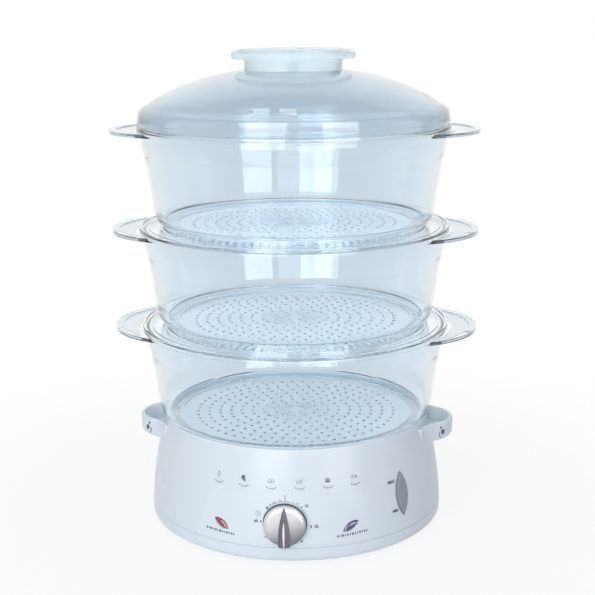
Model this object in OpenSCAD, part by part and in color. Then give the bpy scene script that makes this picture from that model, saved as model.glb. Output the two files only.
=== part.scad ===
// Electric food steamer: a base with a timer, three stacked clear bowls and a domed lid.
// Sizes are in millimetres. The origin is on the table under the middle of the base,
// the front faces -Y, and the bowls and the lid lift off along +Z.

/* [Base] */
// Height of the base, up to the edge that carries the bowls
base_top = 92.5; // [90:0.5:100]
// Height of the sloped collar above the crease
collar_h = 16; // [14:0.5:18]
// How much wider the crease is than the collar's top edge
collar_flare = 4.7; // [3:0.1:7]
// How much wider the foot of the skirt is than the crease
skirt_flare = 9.7; // [7:0.1:13]
// Wall of the white housing and of its bottom cover
shell = 2.5; // [2:0.1:3]
// Height of the seam between the housing and the bottom cover
seam_z = 15; // [13:0.5:18]
// Radius of the rounded bottom edge
edge_r = 5.5; // [3:0.5:7]
// Height of the rubber feet below the cover
foot_h = 2.5; // [1.5:0.1:5]
// Radius of a rubber foot
foot_r = 9; // [6:0.5:12]

/* [Water side] */
// Outer radius of the water tub
tub_r = 104; // [100:0.5:105]
// Wall of the water tub
tub_wall = 2; // [1.6:0.1:2.6]
// Underside of the water tub above the table
tub_z = 17; // [16:0.5:20]
// Radius of the semicircle of a water inlet
inlet_r = 29; // [25:0.5:32]
// How far a water inlet stands out from the crease
inlet_reach = 19.7; // [17:0.1:24]
// Radius of the hollow fairing between a water inlet and the collar
inlet_fairing = 40; // [20:1:60]
// Height of a water inlet
inlet_h = 16.5; // [14.5:0.5:18]
// Outer radius of the steam sleeve at its foot
sleeve_r = 43; // [38:0.5:48]
// Gap between the heating plate and the sleeve round it
heater_gap = 3; // [2:0.1:6]
// Width of the flange round the drip tray's pan
tray_flange = 13.4; // [12:0.1:20]
// Depth of the drip tray's pan
tray_depth = 14; // [10:0.5:14]

/* [Controls] */
// Height of the timer knob's axis
knob_z = 35; // [34:0.5:38]
// Radius of the timer knob
knob_r = 17; // [14:0.5:17.5]
// Length of the timer knob, without its ridge
knob_len = 6.5; // [5.5:0.5:8]
// Height of the ridge on the knob
ridge_h = 3.2; // [2:0.2:4]
// Radius of the timer's shaft
shaft_r = 3; // [2.5:0.1:3.5]
// Radius of the timer's case
timer_r = 21; // [18:0.5:21]
// Depth of the timer's case
timer_len = 25; // [20:0.5:26]
// Length of a lamp's leaf-shaped lens
lamp_len = 15; // [12:0.5:17]
// Width of that lens
lamp_w = 6; // [5:0.2:7]
// Height of the lamps above the table
lamp_z = 30; // [28:0.5:34]
// Turn of the lamps from the front
lamp_az = 24.3; // [22:0.1:27]
// Height of the water level window
window_len = 36; // [30:0.5:38]
// Width of the water level window
window_w = 12.7; // [10:0.1:14]
// Height of the window's middle above the table
window_z = 45.5; // [44:0.5:46]
// Turn of the window from the front
window_az = 48.5; // [46:0.5:54]
// Bore of the cord gland
gland_bore = 3.6; // [3:0.1:4.2]

/* [Bowls] */
// Radius of a bowl's rim
rim_r = 131; // [120:0.5:145]
// Width of a rim, from its outside in to the spigot of the bowl above
rim_ledge = 20.4; // [19:0.1:24]
// Height that each stacked bowl adds
bowl_pitch = 83.5; // [70:0.5:100]
// Wall of the clear bowls and of the lid
clear_wall = 2.2; // [1.8:0.1:2.6]
// Height of the spigot under a bowl
spigot_h = 7; // [6:0.2:8]
// How deep a bowl nests in the rim below it
nest = 3; // [2.4:0.1:4]
// Radius of the arc of a bowl's ear
ear_r = 71; // [66:0.5:76]
// How far an ear stands out from the rim
ear_reach = 24; // [18:0.5:30]
// Thickness of an ear's border
ear_t = 3; // [2.4:0.1:3.6]
// Thickness of the perforated floor
floor_t = 2; // [1.6:0.1:2.6]
// Radius of a steam hole in the floor
hole_r = 1.6; // [1:0.1:2.2]
// Distance between the rings of steam holes
hole_pitch = 9.5; // [8:0.5:14]
// Slots round the floor's edge
slots = 48; // [36:1:60]
// Width of one of those slots
slot_w = 7; // [5:0.5:8]

/* [Lid] */
// Height of the lid's upright skirt
skirt_h = 13.5; // [10:0.5:18]
// Height of the dome above the skirt
dome_h = 30.7; // [24:0.5:40]
// Radius of the lid knob's neck
neck_r = 40.5; // [36:0.5:46]
// How far the flat top that carries the knob stands out past that neck
crown_edge = 2.5; // [2:0.1:8]
// Height of that neck
neck_h = 9.2; // [7:0.1:12]
// Radius of the lid knob's grip
grip_r = 51; // [46:0.5:56]
// Height of that grip
grip_h = 7.6; // [6:0.1:10]

/* [Hidden] */
$fn = 96;

// Clearances
slip = 0.4;             // pieces that lift off by hand
fit = 0.1;              // pieces that are fixed to each other
running = 0.05;         // the shaft in its bush
eps = 1;                // how far a cut runs past the face it opens
inf = 400;              // larger than the whole object

// The tray hangs inside the spigot, and the tub's mouth is never narrower than the tray
spigot_r = rim_r - rim_ledge;
tray_play = 0.2;
tray_r = spigot_r - tray_play - tray_flange;
tray_room = 7;
tub_mouth_r = max(tub_r, tray_r + tray_room);

// The collar takes the spigot, and the crease clears the tub with its screws and the posts
collar_edge = 1.6;
tub_room = 13.3;
collar_in = spigot_r + slip;
collar_top_r = collar_in + collar_edge;
crease_r = max(collar_top_r + collar_flare, tub_mouth_r + tub_room);
base_r = crease_r + skirt_flare;
crease_z = base_top - collar_h;
inlet_x = crease_r + inlet_reach - inlet_r;

// The tray's flange lies on the deck, just under the lowest bowl's spigot
tray_gap = 1.5;
tray_t = 2;
deck_t = 4;
deck_top = base_top - spigot_h - tray_gap - tray_t;
deck_bottom = deck_top - deck_t;
deck_in = tray_r + 2;

function skirt_r(z) = base_r - skirt_flare * pow(z / crease_z, 2);
function collar_r(z) = crease_r - (crease_r - collar_top_r) * (z - crease_z) / collar_h;
function steps(a, b, n) = [for (i = [0:n]) a + (b - a) * i / n];
skirt_steps = 8;

// Bottom cover and its four screws; its lap ends just below the bezel
plate_top = foot_h + shell;
pad_h = 3;
pad_r = 7;
bezel_r = knob_r + 0.8;
bezel_room = 0.2;
lap_h = knob_z - bezel_r - bezel_room - seam_z;
lap_wall = 2;
post_r = 5;
post_from_axis = crease_r - 2.8;
post_azs = [-68, 68, -140, 140];
cover_screw_r = 1.75;
cover_head_r = 4;
cover_head_h = 2.4;
cover_screw_len = 16;
foot_azs = [-35, 35, -145, 145];
foot_from_axis = 100;
foot_sink = 1.2;

// Water tub
flange_t = 2.5;
flange_r = post_from_axis - post_r - slip;
tub_floor = tub_z + 2.5;
bay_y = 82;             // the tub's flat front, behind the timer
bay_top = knob_z + timer_r + 5.5;
tub_shelf = bay_top + 2.5;
mouth_z = bay_top + 0.5;
tub_screw_azs = [20, 65, 115, 160, 200, 245, 295, 340];
tub_screw_r = 1.4;
tub_screw_at = tub_mouth_r + 2 * tub_screw_r + slip / 2;
chute_half = 17;
inlet_bottom = crease_z - 7;
inlet_wall = 3;
inlet_floor = 2.5;
inlet_round = 5;
slot_half = 14;
slot_bottom = inlet_bottom + inlet_floor;
slot_roof = 0.5;
slot_top = deck_bottom - flange_t - slot_roof;

// Heater, from the sleeve's foot down to the bottom cover
sleeve_t = 2;
heater_r = sleeve_r - sleeve_t - heater_gap;
seal_t = 1;
seal_w = 5;
heater_t = 2;
heater_neck_r = heater_r - 6;
heater_dome_r = heater_r - 12;
heater_dome_h = 8;
heater_neck_bottom = tub_z - 3;
clamp_t = 2;
clamp_w = 9;
thermostat_r = 8;
thermostat_h = 5;
fuse_r = 2.2;
fuse_len = 16;
tab = [1, 6, 4];
tab_x = heater_neck_r - 8;

// Steam sleeve and drip tray
sleeve_top = deck_top - tray_depth - tray_t - 5.5;
sleeve_neck_r = 28;
sleeve_notches = 6;
notch = [12, 5];
tray_bottom = deck_top - tray_depth;
chimney_r = 24;
chimney_top = deck_top - 1;

// Timer, its knob and its bezel, along the axis that points to the front
skin_y = skirt_r(knob_z);
bezel_proud = 0.9;
bezel_front = skin_y + bezel_proud;
bezel_back = skin_y - 8;
bezel_flange_r = bezel_r + 2.5;
bezel_flange_t = 1.5;
bezel_bore = shaft_r + 1;
knob_back = bezel_front + slip;
knob_front = knob_back + knob_len;
knob_dome = 1.6;
knob_face = 2;
timer_face = skin_y - 13;
timer_plate = [68, 26, 1.6];
timer_screw_x = 28.5;
timer_boss_r = 4;
timer_screw_r = 1.35;
timer_bore_len = 12;
timer_bush = 4;
bell_r = 14;
bell_t = 3;
ridge_top_w = 2.4;
ridge_low_w = 9;

// Lamps and window
lamp_tilt = 30;          // rise of a lens towards the outside
lamp_proud = 0.4;
lamp_depth = 5;
lamp_lip = 1;
lamp_lip_t = 1.2;
bulb_r = 2.6;
bulb_len = 9;
skirt_lean = atan(2 * skirt_flare * window_z / pow(crease_z, 2));
window_proud = 0.6;
window_depth = 4;
gasket_t = 0.9;
well_r = 5.5;
well_bore = 3.6;
well_at = skirt_r(window_z) - 11.5;
well_half = 15;
pipe_r = 3.2;
pipe_bore = 1.9;
pipe_half = 11;

// Printed panel
panel_t = 0.3;
panel_top = knob_z + 22;
panel_low = seam_z + 2.5;
panel_top_az = 29.5;
panel_low_az = 36;

// Cord gland and terminal block at the back
gland_z = seam_z + 9;
gland_r = gland_bore + 3;
gland_flange_r = gland_r + 2;
gland_flange_t = 2;
gland_in = 6;
gland_out = 8;
block = [26, 12, 14];
block_gap = 1.7;
gland_skin = skirt_r(seam_z) + fit;
block_y = gland_skin - gland_in - block_gap - block[1];
wire_r = 1.3;
wire_sides = 10;
wire_x = 8;
wire_straight = 5;        // how far a wire runs level out of the block
wire_fall = 20;           // how far from the block it lies on the cover
wire_rise = 7;            // how far from a terminal it comes up again
wire_tab_turn = [12, 20];
wire_side_turn = [56, 50];
wire_front_turn = [12, 58];
wire_back_turn = 16;

// Bowls: heights are measured down from the top of the rim
lip_out = 2.9;
lip_w = 2.5;
lip_h = 5;
lip_edge = 0.8;
ledge_drop = 1.2;
band_z = 18;
band_end_z = 25;
band_in = 3.5;
band_lean = 0.5;
bowl_h = bowl_pitch + nest;
shoulder_z = bowl_h - spigot_h;
shoulder_r = spigot_r + 2;
round_r = 3;
toe_out = 1.7;
toe_z = shoulder_z - 5.5;
wall_r = rim_r - lip_out;
seat_r = spigot_r + slip;
spigot_wall = clear_wall;
floor_r = spigot_r - spigot_wall - slip;
shelf_in = floor_r + slip;
foot_ledge = 4;
ledge_t = 1.5;
ridge_r = rim_r - 8.5;
ridge_w = 1.4;
ridge_up = 0.7;
ear_border = 5.5;
ear_web_t = 1.4;
ear_drop = 3.5;
ear_x = rim_r + ear_reach - ear_r;
rim_lower = base_top + shoulder_z;
rim_middle = rim_lower + bowl_pitch;
rim_upper = rim_middle + bowl_pitch;
slot_len = 6;
holes_out = floor_r - slot_len - 6;
hole_rings = floor((holes_out - hole_pitch) / hole_pitch);
rib_t = 1.2;
rib_h = 1.5;

// Lid: heights are measured up from the rim that it stands on
lid_r = rim_r - 1.25;
bead_h = 3.4;
bead_out = 0.5;
lid_spigot_r = rim_r - lip_w - slip;
crown_r = neck_r + crown_edge;
crown_z = skirt_h + dome_h;
dome_apex = 3.3;
dome_t = 1.15 * clear_wall;
dome_steps = 10;
shoulder_in = 3.5;
vent = [14, 5.5];
vent_gap = 6.6;
vent_az = -2.8;
vent_r = lid_r - 11.75;
knob_wall = 2.5;
grip_round = 3;
lid_screw_r = 2;
lid_head_r = 4;
lid_head_h = 2.2;
lid_boss_r = 6;

// Places a piece that was drawn upright, so that it points to the front at a height
module facing(z, from_axis, lean = 0) {
    translate([0, -from_axis, z]) rotate([90 - lean, 0, 0]) children();
}

// A leaf or lens shape: the space that two equal discs share
module leaf(len, w, h) {
    arc = (len * len + w * w) / (4 * w);
    intersection() {
        translate([arc - w / 2, 0, 0]) cylinder(r = arc, h = h);
        translate([w / 2 - arc, 0, 0]) cylinder(r = arc, h = h);
    }
}

module tube(r, bore, h) {
    difference() {
        cylinder(r = r, h = h);
        translate([0, 0, -eps]) cylinder(r = bore, h = h + 2 * eps);
    }
}

module screw(shank_r, len, head_r, head_h) {
    cylinder(r = head_r, h = head_h);
    cylinder(r = shank_r, h = head_h + len);
}

// The outside of the housing as a solid, grown by a clearance
module housing_envelope(grow = 0) {
    skirt = [for (z = steps(seam_z, crease_z, skirt_steps)) [skirt_r(z) + grow, z]];
    rotate_extrude()
        polygon(concat([[0, seam_z]], skirt, [[collar_top_r + grow, base_top], [0, base_top]]));
}

module housing_shell() {
    outside = [for (z = steps(seam_z, crease_z, skirt_steps)) [skirt_r(z), z]];
    inside = [for (z = steps(crease_z, seam_z, skirt_steps)) [skirt_r(z) - shell, z]];
    rotate_extrude() polygon(concat(outside, [
        [collar_r(base_top - lip_edge), base_top - lip_edge],
        [collar_top_r - lip_edge, base_top],
        [collar_in, base_top],
        [collar_in, deck_top],
        [deck_in, deck_top],
        [deck_in, deck_bottom],
        [collar_r(deck_bottom) - shell, deck_bottom]], inside));
}

module posts() {
    intersection() {
        for (az = post_azs) rotate([0, 0, az]) translate([0, -post_from_axis, plate_top + pad_h])
            cylinder(r = post_r, h = deck_top - plate_top - pad_h - eps);
        union() {
            cylinder(r = crease_r - shell / 2, h = crease_z);
            housing_envelope(-shell / 2);
        }
    }
}

module timer_bosses() {
    intersection() {
        for (side = [-1, 1]) translate([side * timer_screw_x, 0, 0])
            facing(knob_z, timer_face) cylinder(r = timer_boss_r, h = skin_y - timer_face);
        housing_envelope(-shell / 2);
    }
}

module lamp_place(side) {
    rotate([0, 0, side * lamp_az]) facing(lamp_z, skirt_r(lamp_z) + lamp_proud - lamp_depth)
        rotate([0, 0, -side * (90 - lamp_tilt)]) children();
}

module window_place(depth) {
    rotate([0, 0, window_az]) facing(window_z, skirt_r(window_z), skirt_lean)
        translate([0, 0, -depth]) children();
}

module base_housing() {
    color("#e6edf3") difference() {
        union() {
            housing_shell();
            posts();
            timer_bosses();
        }
        facing(knob_z, bezel_back) cylinder(r = bezel_r + fit, h = skin_y);
        for (side = [-1, 1]) {
            lamp_place(side) leaf(lamp_len + 2 * fit, lamp_w + 2 * fit, skin_y);
            translate([side * inlet_x, 0, slot_bottom])
                translate([-inlet_r, -slot_half, 0])
                cube([2 * inlet_r, 2 * slot_half, slot_top - slot_bottom]);
            translate([side * timer_screw_x, 0, 0]) facing(knob_z, timer_face - eps)
                cylinder(r = timer_screw_r + fit, h = timer_plate[2] + timer_boss_r + eps);
        }
        window_place(window_depth + shell) leaf(window_len + 2 * (gasket_t + fit),
            window_w + 2 * (gasket_t + fit), window_depth + 3 * shell);
        translate([0, 0, gland_z]) rotate([-90, 0, 0]) translate([0, 0, tub_r])
            cylinder(r = gland_r + fit, h = tub_r);
        for (az = post_azs) rotate([0, 0, az]) translate([0, -post_from_axis, plate_top])
            cylinder(r = cover_screw_r + running, h = cover_screw_len + pad_h);
        for (az = tub_screw_azs) rotate([0, 0, az])
            translate([0, -tub_screw_at, deck_bottom - eps])
            cylinder(r = tub_screw_r + running, h = deck_t - 1 + eps);
    }
}

module bottom_cover() {
    flat_r = skirt_r(foot_h + edge_r) - edge_r;
    lap_r = skirt_r(seam_z + lap_h) - shell - fit;
    color("#e2e9f0") difference() {
        union() {
            rotate_extrude() polygon(concat(
                [[0, foot_h]],
                [for (a = steps(0, 90, 6))
                    [flat_r + edge_r * sin(a), foot_h + edge_r * (1 - cos(a))]],
                [[skirt_r(seam_z), seam_z], [lap_r, seam_z], [lap_r, seam_z + lap_h],
                 [lap_r - lap_wall, seam_z + lap_h], [lap_r - lap_wall, plate_top], [0, plate_top]]));
            for (az = post_azs) rotate([0, 0, az]) translate([0, -post_from_axis, foot_h])
                cylinder(r = pad_r, h = shell + pad_h);
        }
        for (az = post_azs) rotate([0, 0, az]) translate([0, -post_from_axis, foot_h - eps]) {
            cylinder(r = cover_head_r + slip, h = eps + pad_h);
            cylinder(r = cover_screw_r + slip, h = pad_h + shell + 2 * eps);
        }
        for (az = foot_azs) rotate([0, 0, az]) translate([0, -foot_from_axis, foot_h - eps])
            cylinder(r = foot_r + fit, h = foot_sink + eps);
        translate([0, 0, gland_z]) rotate([-90, 0, 0]) translate([0, 0, tub_r])
            cylinder(r = gland_flange_r + slip, h = tub_r);
    }
}

module rubber_feet() {
    color("#555a60") for (az = foot_azs) rotate([0, 0, az]) translate([0, -foot_from_axis, 0]) {
        cylinder(r1 = foot_r - 1, r2 = foot_r, h = 1);
        translate([0, 0, 1]) cylinder(r = foot_r, h = foot_h + foot_sink - 1);
    }
}

module cover_screws() {
    color("silver") for (az = post_azs) rotate([0, 0, az])
        translate([0, -post_from_axis, foot_h + pad_h - cover_head_h])
        screw(cover_screw_r, cover_screw_len, cover_head_r, cover_head_h);
}

// Fills the corner between an inlet and the collar with a hollow curve that touches both
module inlet_fairings(side) {
    from_inlet = inlet_r + inlet_fairing;
    from_axis = crease_r + inlet_fairing;
    x = (pow(from_axis, 2) - pow(from_inlet, 2) + pow(inlet_x, 2)) / (2 * inlet_x);
    y = sqrt(pow(from_axis, 2) - pow(x, 2));
    for (end = [-1, 1]) translate([0, 0, inlet_bottom + eps]) difference() {
        linear_extrude(inlet_h - eps) polygon([[side * inlet_x / 2, 0], [side * inlet_x, 0],
            [side * x, end * y]]);
        translate([side * x, end * y, -eps]) cylinder(r = inlet_fairing, h = inlet_h + eps);
    }
}

// One side's water inlet, which is also the handle of the base
module water_inlet(side) {
    color("#e6edf3") difference() {
        union() {
            translate([side * inlet_x, 0, inlet_bottom]) rotate_extrude() polygon(concat(
                [[0, 0]],
                [for (a = steps(0, 90, 5)) [inlet_r - inlet_round + inlet_round * sin(a),
                    inlet_round * (1 - cos(a))]],
                [[inlet_r, inlet_h], [0, inlet_h]]));
            inlet_fairings(side);
        }
        translate([side * inlet_x, 0, inlet_bottom + inlet_floor])
            cylinder(r = inlet_r - inlet_wall, h = inlet_h);
        housing_envelope(fit);
    }
}

module water_inlet_left() {
    water_inlet(-1);
}

module water_inlet_right() {
    water_inlet(1);
}

// The tub's plan: a full disc above the timer bay, and cut flat in front below it
module tub_solid(r, mouth_r, front, bottom, step) {
    translate([0, 0, step]) cylinder(r = r, h = deck_bottom - step);
    translate([0, 0, max(step, mouth_z)]) cylinder(r = mouth_r, h = deck_bottom - max(step, mouth_z));
    intersection() {
        translate([0, 0, bottom]) cylinder(r = r, h = step - bottom + eps / 2);
        translate([-inf / 2, -front, bottom]) cube([inf, inf, step - bottom + eps / 2]);
    }
}

module chutes(half, bottom, reach) {
    intersection() {
        for (side = [-1, 1])
            translate([side > 0 ? tub_mouth_r - 2 * tub_wall : -inf, -half, bottom])
            cube([inf - tub_mouth_r + 2 * tub_wall, 2 * half, deck_bottom - flange_t - bottom]);
        cylinder(r = reach, h = deck_bottom);
    }
}

module water_tub() {
    chute_reach = skirt_r(crease_z) - shell - slip;
    color("#cfd8de") difference() {
        union() {
            tub_solid(tub_r, tub_mouth_r, bay_y, tub_z, bay_top);
            translate([0, 0, deck_bottom - flange_t]) cylinder(r = flange_r, h = flange_t);
            chutes(chute_half, slot_bottom - tub_wall, chute_reach);
        }
        tub_solid(tub_r - tub_wall, tub_mouth_r - tub_wall, bay_y - tub_wall, tub_floor, tub_shelf);
        translate([0, 0, deck_bottom - eps]) cylinder(r = tub_mouth_r - tub_wall, h = 2 * eps);
        chutes(slot_half + 1, slot_bottom, inf);
        translate([0, 0, tub_z - eps]) cylinder(r = heater_neck_r + fit, h = tub_floor);
        for (az = tub_screw_azs) rotate([0, 0, az])
            translate([0, -tub_screw_at, deck_bottom - flange_t - eps])
            cylinder(r = tub_screw_r + fit, h = flange_t + 2 * eps);
        for (up = [-pipe_half, pipe_half]) rotate([0, 0, window_az])
            facing(window_z + up, tub_r - 3 * tub_wall) cylinder(r = pipe_r + fit, h = 4 * tub_wall);
    }
}

module tub_screws() {
    color("silver") for (az = tub_screw_azs) rotate([0, 0, az])
        translate([0, -tub_screw_at, deck_bottom - flange_t - 1.6])
        screw(tub_screw_r, flange_t + deck_t - 2, 2 * tub_screw_r, 1.6);
}

module heating_plate() {
    color("#b9bec4") union() {
        translate([0, 0, heater_neck_bottom])
            cylinder(r = heater_neck_r, h = tub_floor + seal_t - heater_neck_bottom);
        translate([0, 0, tub_floor + seal_t]) cylinder(r = heater_r, h = heater_t);
        translate([0, 0, tub_floor + seal_t + heater_t])
            cylinder(r1 = heater_dome_r, r2 = heater_dome_r - 4, h = heater_dome_h);
        for (side = [-1, 1]) translate([side * tab_x - tab[0] / 2, -tab[1] / 2,
            heater_neck_bottom - tab[2]]) cube([tab[0], tab[1], tab[2]]);
    }
}

module heater_seal() {
    color("#a8543c") translate([0, 0, tub_floor])
        tube(heater_r, heater_r - seal_w, seal_t);
}

module heater_clamp() {
    color("silver") translate([0, 0, tub_z - clamp_t])
        tube(heater_neck_r + clamp_w, heater_neck_r + fit, clamp_t);
}

module thermostat() {
    color("#d8c9a8") translate([0, 0, heater_neck_bottom - thermostat_h])
        cylinder(r = thermostat_r, h = thermostat_h);
}

module thermal_fuse() {
    color("white") translate([-fuse_len / 2, thermostat_r + 2 * fuse_r,
        heater_neck_bottom - fuse_r]) rotate([0, 90, 0]) cylinder(r = fuse_r, h = fuse_len);
}

module timer_case() {
    color("#d9d4c4") difference() {
        union() {
            facing(knob_z, timer_face - timer_len) cylinder(r = timer_r, h = timer_len);
            translate([-timer_plate[0] / 2, -timer_face, knob_z - timer_plate[1] / 2])
                cube([timer_plate[0], timer_plate[2], timer_plate[1]]);
            facing(knob_z, timer_face - timer_len - bell_t) cylinder(r = bell_r, h = bell_t + eps);
            facing(knob_z, timer_face) cylinder(r = shaft_r + 2, h = timer_bush);
        }
        facing(knob_z, timer_face - timer_bore_len)
            cylinder(r = shaft_r + running, h = timer_bore_len + timer_bush + eps);
        for (side = [-1, 1]) translate([side * timer_screw_x, 0, 0])
            facing(knob_z, timer_face - 2 * timer_plate[2])
            cylinder(r = timer_screw_r + fit, h = 4 * timer_plate[2]);
    }
}

module timer_screws() {
    head_h = 1.8;
    color("silver") for (side = [-1, 1]) translate([side * timer_screw_x, 0, 0])
        facing(knob_z, timer_face - timer_plate[2] - head_h)
        screw(timer_screw_r, timer_plate[2] + timer_boss_r, 2 * timer_screw_r, head_h);
}

module timer_bezel() {
    color("#4b5058") difference() {
        union() {
            facing(knob_z, bezel_back) cylinder(r = bezel_r, h = bezel_front - bezel_back);
            facing(knob_z, bezel_back) cylinder(r = bezel_flange_r, h = bezel_flange_t);
        }
        facing(knob_z, bezel_back - eps)
            cylinder(r = bezel_bore, h = bezel_front - bezel_back + 2 * eps);
    }
}

module lamp_lens(side) {
    lamp_place(side) leaf(lamp_len, lamp_w, lamp_depth);
    lamp_place(side) translate([0, 0, -lamp_lip_t + fit])
        leaf(lamp_len + 2 * lamp_lip, lamp_w + 2 * lamp_lip, lamp_lip_t);
}

module lamp_lens_red() {
    color("#9c3c5a") lamp_lens(-1);
}

module lamp_lens_blue() {
    color("#4a4a86") lamp_lens(1);
}

module lamp_bulbs() {
    color("#e8c8a0") for (side = [-1, 1]) lamp_place(side)
        translate([0, 0, fit - lamp_lip_t - bulb_len]) cylinder(r = bulb_r, h = bulb_len);
}

module level_window() {
    color("#9aaaac") difference() {
        union() {
            window_place(window_depth) leaf(window_len, window_w, window_depth + window_proud);
            rotate([0, 0, window_az]) {
                translate([0, -well_at, window_z - well_half])
                    cylinder(r = well_r, h = 2 * well_half);
                translate([-pipe_bore, -well_at - well_r - 2, window_z - pipe_half])
                    cube([2 * pipe_bore, well_r, 2 * pipe_half]);
                for (up = [-pipe_half, pipe_half]) facing(window_z + up, tub_r - tub_wall)
                    cylinder(r = pipe_r, h = well_at - tub_r + tub_wall);
            }
        }
        rotate([0, 0, window_az]) {
            translate([0, -well_at, window_z - pipe_half - pipe_bore])
                cylinder(r = well_bore, h = 2 * (pipe_half + pipe_bore));
            for (up = [-pipe_half, pipe_half]) facing(window_z + up, tub_r - tub_wall - eps)
                cylinder(r = pipe_bore, h = well_at - tub_r + tub_wall + eps);
        }
    }
}

module window_gasket() {
    color("#6f7c80") window_place(window_depth - 1) difference() {
        leaf(window_len + 2 * gasket_t, window_w + 2 * gasket_t, window_depth - 1);
        translate([0, 0, -eps])
            leaf(window_len + fit, window_w + fit, window_depth + 2 * eps);
    }
}

module control_panel() {
    color("#dfe7ef") difference() {
        intersection() {
            housing_envelope(panel_t);
            translate([-inf / 2, -inf, panel_low]) cube([inf, inf, panel_top - panel_low]);
        }
        housing_envelope();
        for (side = [-1, 1]) {
            low_x = side * skirt_r(panel_low) * sin(panel_low_az);
            top_x = side * skirt_r(panel_top) * sin(panel_top_az);
            lean = atan((low_x - top_x) / (panel_top - panel_low));
            translate([low_x, 0, panel_low]) rotate([0, -lean, 0])
                translate([side > 0 ? 0 : -inf, -inf, -inf / 4]) cube([inf, inf, inf]);
            lamp_place(side) leaf(lamp_len + 4 * fit, lamp_w + 4 * fit, lamp_depth + 2 * eps);
        }
        facing(knob_z, bezel_back) cylinder(r = bezel_r + 2 * fit, h = skin_y);
    }
}

module cord_gland() {
    color("#50555c") translate([0, 0, gland_z]) rotate([-90, 0, 0]) {
        translate([0, 0, gland_skin - gland_in]) tube(gland_r, gland_bore, gland_in + gland_out);
        translate([0, 0, gland_skin]) tube(gland_flange_r, gland_bore, gland_flange_t);
    }
}

module terminal_block() {
    color("#f0f0ea") difference() {
        translate([-block[0] / 2, block_y, plate_top]) cube([block[0], block[1], block[2]]);
        for (x = [-block[0] / 4, block[0] / 4])
            translate([x, block_y + block[1] / 2, plate_top + block[2] - 4])
            cylinder(r = 2, h = 4 + eps);
    }
}

function unit(v) = v / norm(v);
function heading(points, i) = let (last = len(points) - 1)
    i == 0 ? unit(points[1] - points[0])
    : i == last ? unit(points[last] - points[last - 1])
    : unit(unit(points[i + 1] - points[i]) + unit(points[i] - points[i - 1]));

// A wire is one tube swept along its points, with a ring of corners at each
module wire(points) {
    side = unit([3, 2, 10]);
    rings = [for (i = [0:len(points) - 1])
        let (d = heading(points, i), u = unit(cross(side, d)), v = cross(d, u))
        for (k = [0:wire_sides - 1]) points[i]
            + wire_r * (cos(360 * k / wire_sides) * u + sin(360 * k / wire_sides) * v)];
    last = (len(points) - 1) * wire_sides;
    polyhedron(points = rings, faces = concat(
        [for (j = [0:wire_sides:last - 1], k = [0:wire_sides - 1])
            let (next = (k + 1) % wire_sides, up = j + wire_sides)
            each [[j + k, up + k, up + next], [j + k, up + next, j + next]]],
        [for (k = [1:wire_sides - 2]) each [[0, k, k + 1], [last, last + k + 1, last + k]]]));
}

module wiring() {
    low = plate_top + 1.5 * wire_r;
    block_z = plate_top + block[2] / 2;
    tab_z = heater_neck_bottom - tab[2] / 2;
    thermostat_z = heater_neck_bottom - thermostat_h / 2;
    timer_y = timer_len / 2 - timer_face;
    timer_low = knob_z - sqrt(pow(timer_r, 2) - pow(wire_x, 2)) - wire_r / 2;
    color("#3d62a8") {
        wire([[-wire_x, block_y, block_z], [-wire_x, block_y - wire_straight, block_z],
            [-wire_x, block_y - wire_fall, low],
            [-tab_x - wire_tab_turn[0], wire_tab_turn[1], low],
            [-tab_x - wire_rise, 0, tab_z], [-tab_x - tab[0] / 2, 0, tab_z]]);
        wire([[wire_x, block_y, block_z], [wire_x, block_y - wire_straight, block_z],
            [wire_x, block_y - wire_fall, low],
            [wire_side_turn[0], wire_side_turn[1], low],
            [wire_side_turn[0], -wire_side_turn[1], low],
            [wire_x, timer_y, low], [wire_x, timer_y, timer_low]]);
        wire([[-wire_x, timer_y, timer_low], [-wire_x, timer_y, low],
            [-wire_front_turn[0], -wire_front_turn[1], low],
            [0, -thermostat_r - wire_back_turn, low],
            [0, -thermostat_r - wire_rise, thermostat_z],
            [0, -thermostat_r - fit, thermostat_z]]);
    }
}

module steam_sleeve() {
    color("#d5dde2") difference() {
        rotate_extrude() polygon([
            [sleeve_r, tub_floor],
            [sleeve_r, tub_floor + 12],
            [sleeve_neck_r, sleeve_top - 6],
            [sleeve_neck_r, sleeve_top],
            [sleeve_neck_r - sleeve_t, sleeve_top],
            [sleeve_neck_r - sleeve_t, sleeve_top - 6],
            [sleeve_r - sleeve_t, tub_floor + 12],
            [sleeve_r - sleeve_t, tub_floor]]);
        for (i = [1:sleeve_notches]) rotate([0, 0, i * 360 / sleeve_notches])
            translate([0, -notch[0] / 2, tub_floor - eps]) cube([2 * sleeve_r, notch[0], notch[1] + eps]);
    }
}

module drip_tray() {
    color("#d5dde2") difference() {
        union() {
            translate([0, 0, deck_top]) cylinder(r = tray_r + tray_flange, h = tray_t);
            translate([0, 0, tray_bottom - tray_t]) cylinder(r = tray_r, h = tray_depth + tray_t + 1);
        }
        difference() {
            translate([0, 0, tray_bottom]) cylinder(r = tray_r - tray_t, h = tray_depth + 2 * tray_t);
            translate([0, 0, tray_bottom - eps])
                cylinder(r = chimney_r, h = chimney_top - tray_bottom + eps);
        }
        translate([0, 0, tray_bottom - 2 * tray_t])
            cylinder(r = chimney_r - tray_t, h = tray_depth + 4 * tray_t);
    }
}

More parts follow.
